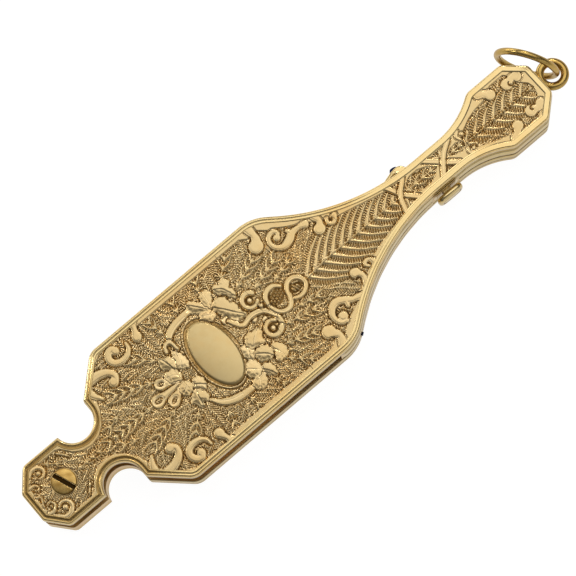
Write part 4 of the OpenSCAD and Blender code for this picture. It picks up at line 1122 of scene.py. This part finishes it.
# Side lug
LUG_PLAN = [(42.6, 3.62), (47, 3.6), (51.3, 3.62), (51.2, 4.4), (50.7, 5.2), (49.9, 5.6), (48.6, 5.55),
            (46.6, 5), (44.4, 4.3)]
LUG_TIP_PLAN = [(48.1, 5.3), (49, 5.35), (49.9, 5.3), (49.8, 5.75), (49.2, 6), (48.5, 5.95)]


def cushion(plan, low, high, round_by, crown):
    """Points and triangles of a plan outline raised from low to high, with rounded edges and a crown."""
    steps = 4
    p = spline(plan, 5, closed=True)
    n = len(p)
    t = np.roll(p, -1, 0) - np.roll(p, 1, 0)
    t /= np.linalg.norm(t, axis=1)[:, None]
    turning = ((p[:, 0] * np.roll(p[:, 1], -1)) - (np.roll(p[:, 0], -1) * p[:, 1])).sum()
    out = np.column_stack([t[:, 1], -t[:, 0]]) * (1 if turning >= 0 else -1)
    rows = []
    for i in range(steps + 1):
        a = math.pi / 2 * i / steps
        rows.append((round_by * (1 - math.sin(a)), low + round_by * (1 - math.cos(a))))
    for i in range(steps + 1):
        a = math.pi / 2 * i / steps
        rows.append((round_by * (1 - math.cos(a)), high - round_by * (1 - math.sin(a))))
    middle = p.mean(0)
    verts = [np.column_stack([p - out * inset, np.full(n, z)]) for inset, z in rows]
    for s in (0.66, 0.33):
        ring = middle + (p - out * round_by - middle) * s
        verts.append(np.column_stack([ring, np.full(n, high + crown * (1 - s * s))]))
    top, bottom = [*middle, high + crown], [*middle, low]
    count = len(verts)
    quads = sheet_faces(count, n, wrap_m=True)
    i = np.arange(n)
    ahead, last = (i + 1) % n, (count - 1) * n
    cap = np.column_stack([np.full(n, count * n), last + i, last + ahead])
    base = np.column_stack([np.full(n, count * n + 1), ahead, i])
    return np.vstack(verts + [top, bottom]), np.vstack([quads[:, [0, 1, 2]], quads[:, [0, 2, 3]], cap, base])


tab = cushion(LUG_PLAN, 3.9, 6.5, 0.3, crown=0.1)
bead = cushion(LUG_TIP_PLAN, 4.9, 6.3, 0.15, crown=0.05)
lug = add_mesh("side_lug_tab", *tab, POLISHED, "case", "gold")
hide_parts("side_lug")
tip = add_mesh("side_lug_bead", *bead, BLUED, "case", "blued_steel")
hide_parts("side_lug_tip")


# Push button and its collar: rows of half width, half height, y and tone; the tone paints shade on the back
# of the cap, in the groove round its raised oval and towards the collar's hole
BUTTON_IN = -4.42
BUTTON_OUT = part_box("push_button")[0][1] / MM
BUTTON_DEEP = BUTTON_IN - BUTTON_OUT
BUTTON_ROWS = [(0.02, 0.02, BUTTON_IN, 0.3), (0.9, 0.75, BUTTON_IN, 0.3), (2.55, 1.65, BUTTON_IN, 0.4),
               (2.75, 1.85, BUTTON_IN - 0.10, 0.8), (2.88, 1.98, BUTTON_IN - 0.35, 1),
               (2.88, 1.98, BUTTON_IN - BUTTON_DEEP * 0.55, 1),
               (2.80, 1.90, BUTTON_IN - BUTTON_DEEP * 0.78, 1),
               (2.60, 1.70, BUTTON_IN - BUTTON_DEEP * 0.92, 1), (2.35, 1.45, BUTTON_OUT + 0.02, 1),
               (2.2, 1.3, BUTTON_OUT + 0.03, 0.6), (2.1, 1.2, BUTTON_OUT + 0.12, 0.1),
               (1.98, 1.08, BUTTON_OUT + 0.06, 0.6), (1.75, 0.85, BUTTON_OUT, 1),
               (0.9, 0.4, BUTTON_OUT - 0.02, 1), (0.02, 0.01, BUTTON_OUT - 0.02, 1)]
COLLAR_ROWS = [(3, 1.75, -3.45, 0.6), (3, 1.75, -3.76, 0.9), (2.9, 1.65, -3.80, 1), (1.15, 0.95, -3.80, 0.7),
               (1.1, 0.9, -3.50, 0.2)]
STEM_PLAN = [(53.55, -4.6), (53.55, -0.95), (53.70, -0.80), (54.55, -0.80), (55.25, -1.50), (55.25, -4.6)]


def capsule(rows, n, squareness):
    """Points, faces and tones of rounded rectangles round the button's middle, one from each row."""
    a = np.arange(n) * 2 * math.pi / n
    wide = np.sign(np.cos(a)) * np.abs(np.cos(a)) ** squareness
    high = np.sign(np.sin(a)) * np.abs(np.sin(a)) ** squareness
    verts, tones = [], []
    for rx, rz, y, tone in rows:
        verts.append(np.column_stack([BUTTON_X + rx * wide, np.full(n, y), BUTTON_Z + rz * high]))
        tones += [tone] * n
    return np.vstack(verts), sheet_faces(len(rows), n, wrap_m=True)[:, ::-1], tones


def button():
    """A capsule with a raised oval, and the stem that carries it."""
    v, f, tone = capsule(BUTTON_ROWS, 64, 0.625)
    o = add_mesh("push_button_cap", v, f, POLISHED, "button", "pale_gold", tone=tone)
    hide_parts("push_button")
    k = len(STEM_PLAN)
    v = [(x, y, z) for z in (4.0, 5.3) for x, y in STEM_PLAN]
    f = [[i, (i + 1) % k, k + (i + 1) % k, k + i] for i in range(k)]
    f += [[0, 1, 2, 3], [0, 3, 4, 5], [9, 8, 7, 6], [11, 10, 9, 6]]
    add_mesh("push_button_stem", v, f, PALE, "button", "pale_gold", flat=True)


def collar():
    """A flat collar round the stem, on the wall."""
    v, f, tone = capsule(COLLAR_ROWS, 48, 0.55)
    add_mesh("button_collar", v, f, POLISHED, "case", "gold", tone=tone)


button()
collar()


# Floor, light and camera
def stage_floor():
    """A white floor with a glow of its own, weaker where it is mirrored in the metal."""
    me = bpy.data.meshes.new("floor")
    half, low = 3.0, -0.00004
    corners = [(-half, -half, low), (half, -half, low), (half, half, low), (-half, half, low)]
    me.from_pydata(corners, [], [(0, 1, 2, 3)])
    o = bpy.data.objects.new("floor", me)
    bpy.context.scene.collection.objects.link(o)
    m, tree = new_material("floor_white")
    rays = add_node(tree, "LightPath")
    glow = calc(tree, "MULTIPLY", rays.outputs["Is Camera Ray"], 0.82)
    for kind, share in (("Is Glossy Ray", 0.55), ("Is Transmission Ray", 0.82)):
        glow = calc(tree, "MAXIMUM", glow, calc(tree, "MULTIPLY", rays.outputs[kind], share))
    white = add_node(tree, "BsdfDiffuse", Color=(0.80, 0.79, 0.77, 1))
    light = add_node(tree, "Emission", Strength=1.16)
    mix = add_node(tree, "MixShader")
    for k, value in enumerate((glow, white.outputs[0], light.outputs[0])):
        put(tree, mix.inputs[k], value)
    use_shader(tree, mix)
    me.materials.append(m)


def studio():
    """A studio that is brightest at the horizon, darkest above it and a little lighter overhead."""
    world = bpy.data.worlds.new("studio")
    bpy.context.scene.world = world
    world.use_nodes = True
    tree = world.node_tree
    direction = add_node(tree, "TexCoord").outputs["Generated"]
    height = add_node(tree, "SeparateXYZ", Vector=direction).outputs["Z"]
    stops = [(0, (0.55, 0.54, 0.52, 1))]
    for position, grey in ((0.16, 0.30), (0.34, 0.11), (0.62, 0.12), (0.85, 0.20), (1, 0.22)):
        stops.append((position, (grey, grey, grey, 1)))
    background = tree.nodes["Background"]
    put(tree, background.inputs["Color"], color_ramp(tree, height, stops))
    put(tree, background.inputs["Strength"], 1.0)


def area(name, at, to, size, power):
    light = bpy.data.lights.new(name, "AREA")
    light.shape = "RECTANGLE"
    light.size, light.size_y = size
    light.energy = power
    light.color = (1, 0.985, 0.96)
    o = bpy.data.objects.new(name, light)
    bpy.context.scene.collection.objects.link(o)
    at, to = Vector(at), Vector(to)
    o.matrix_world = Matrix.Translation(at) @ (at - to).to_track_quat("Z", "Y").to_matrix().to_4x4()


def aim_camera():
    """The view of the photograph: tilt and turn of the line of sight, and the case's turn in the picture."""
    image_half, focal = 288, 2600
    tilt, turn, case_turn = math.radians(12.614), math.radians(-72.4375), math.radians(40.32389)
    place = Vector((-23.23, -98.86, 491.07)) * MM
    data = bpy.data.cameras.new("camera")
    camera = bpy.data.objects.new("camera", data)
    bpy.context.scene.collection.objects.link(camera)
    data.sensor_fit = "HORIZONTAL"
    data.angle = 2 * math.atan(image_half / focal)
    data.clip_start, data.clip_end = 0.01, 20
    back = Vector((math.sin(tilt) * math.cos(turn), math.sin(tilt) * math.sin(turn), math.cos(tilt)))
    up = (Vector((0, 1, 0)) - back * back.y).normalized()
    along = Vector((math.cos(case_turn), math.sin(case_turn), 0))
    across = Vector((-math.sin(case_turn), math.cos(case_turn), 0))
    back, up = (Vector((v.dot(along), v.dot(across), v.z)) for v in (back, up))
    turned = Matrix((up.cross(back), up, back)).transposed().to_4x4()
    camera.matrix_world = Matrix.Translation(place) @ turned
    bpy.context.scene.camera = camera


stage_floor()
studio()
area("softbox_top", (0.29, 0.20, 0.85), (0.018, 0, 0), (1.1, 0.7), 3.0)
area("softbox_low", (0.05, -0.75, 0.40), (0.018, 0, 0), (1.0, 0.35), 0.8)
area("glint_left", (-0.42, 0.62, 0.62), (0, 0, 0), (0.14, 0.14), 1.3)
area("glint_right", (0.55, 0.50, 0.62), (0.04, 0, 0), (0.12, 0.12), 0.9)
area("strip_back", (0, 0.95, 0.22), (0.018, 0, 0), (1.1, 0.30), 2.6)
aim_camera()
bpy.context.scene.view_settings.view_transform = "Standard"
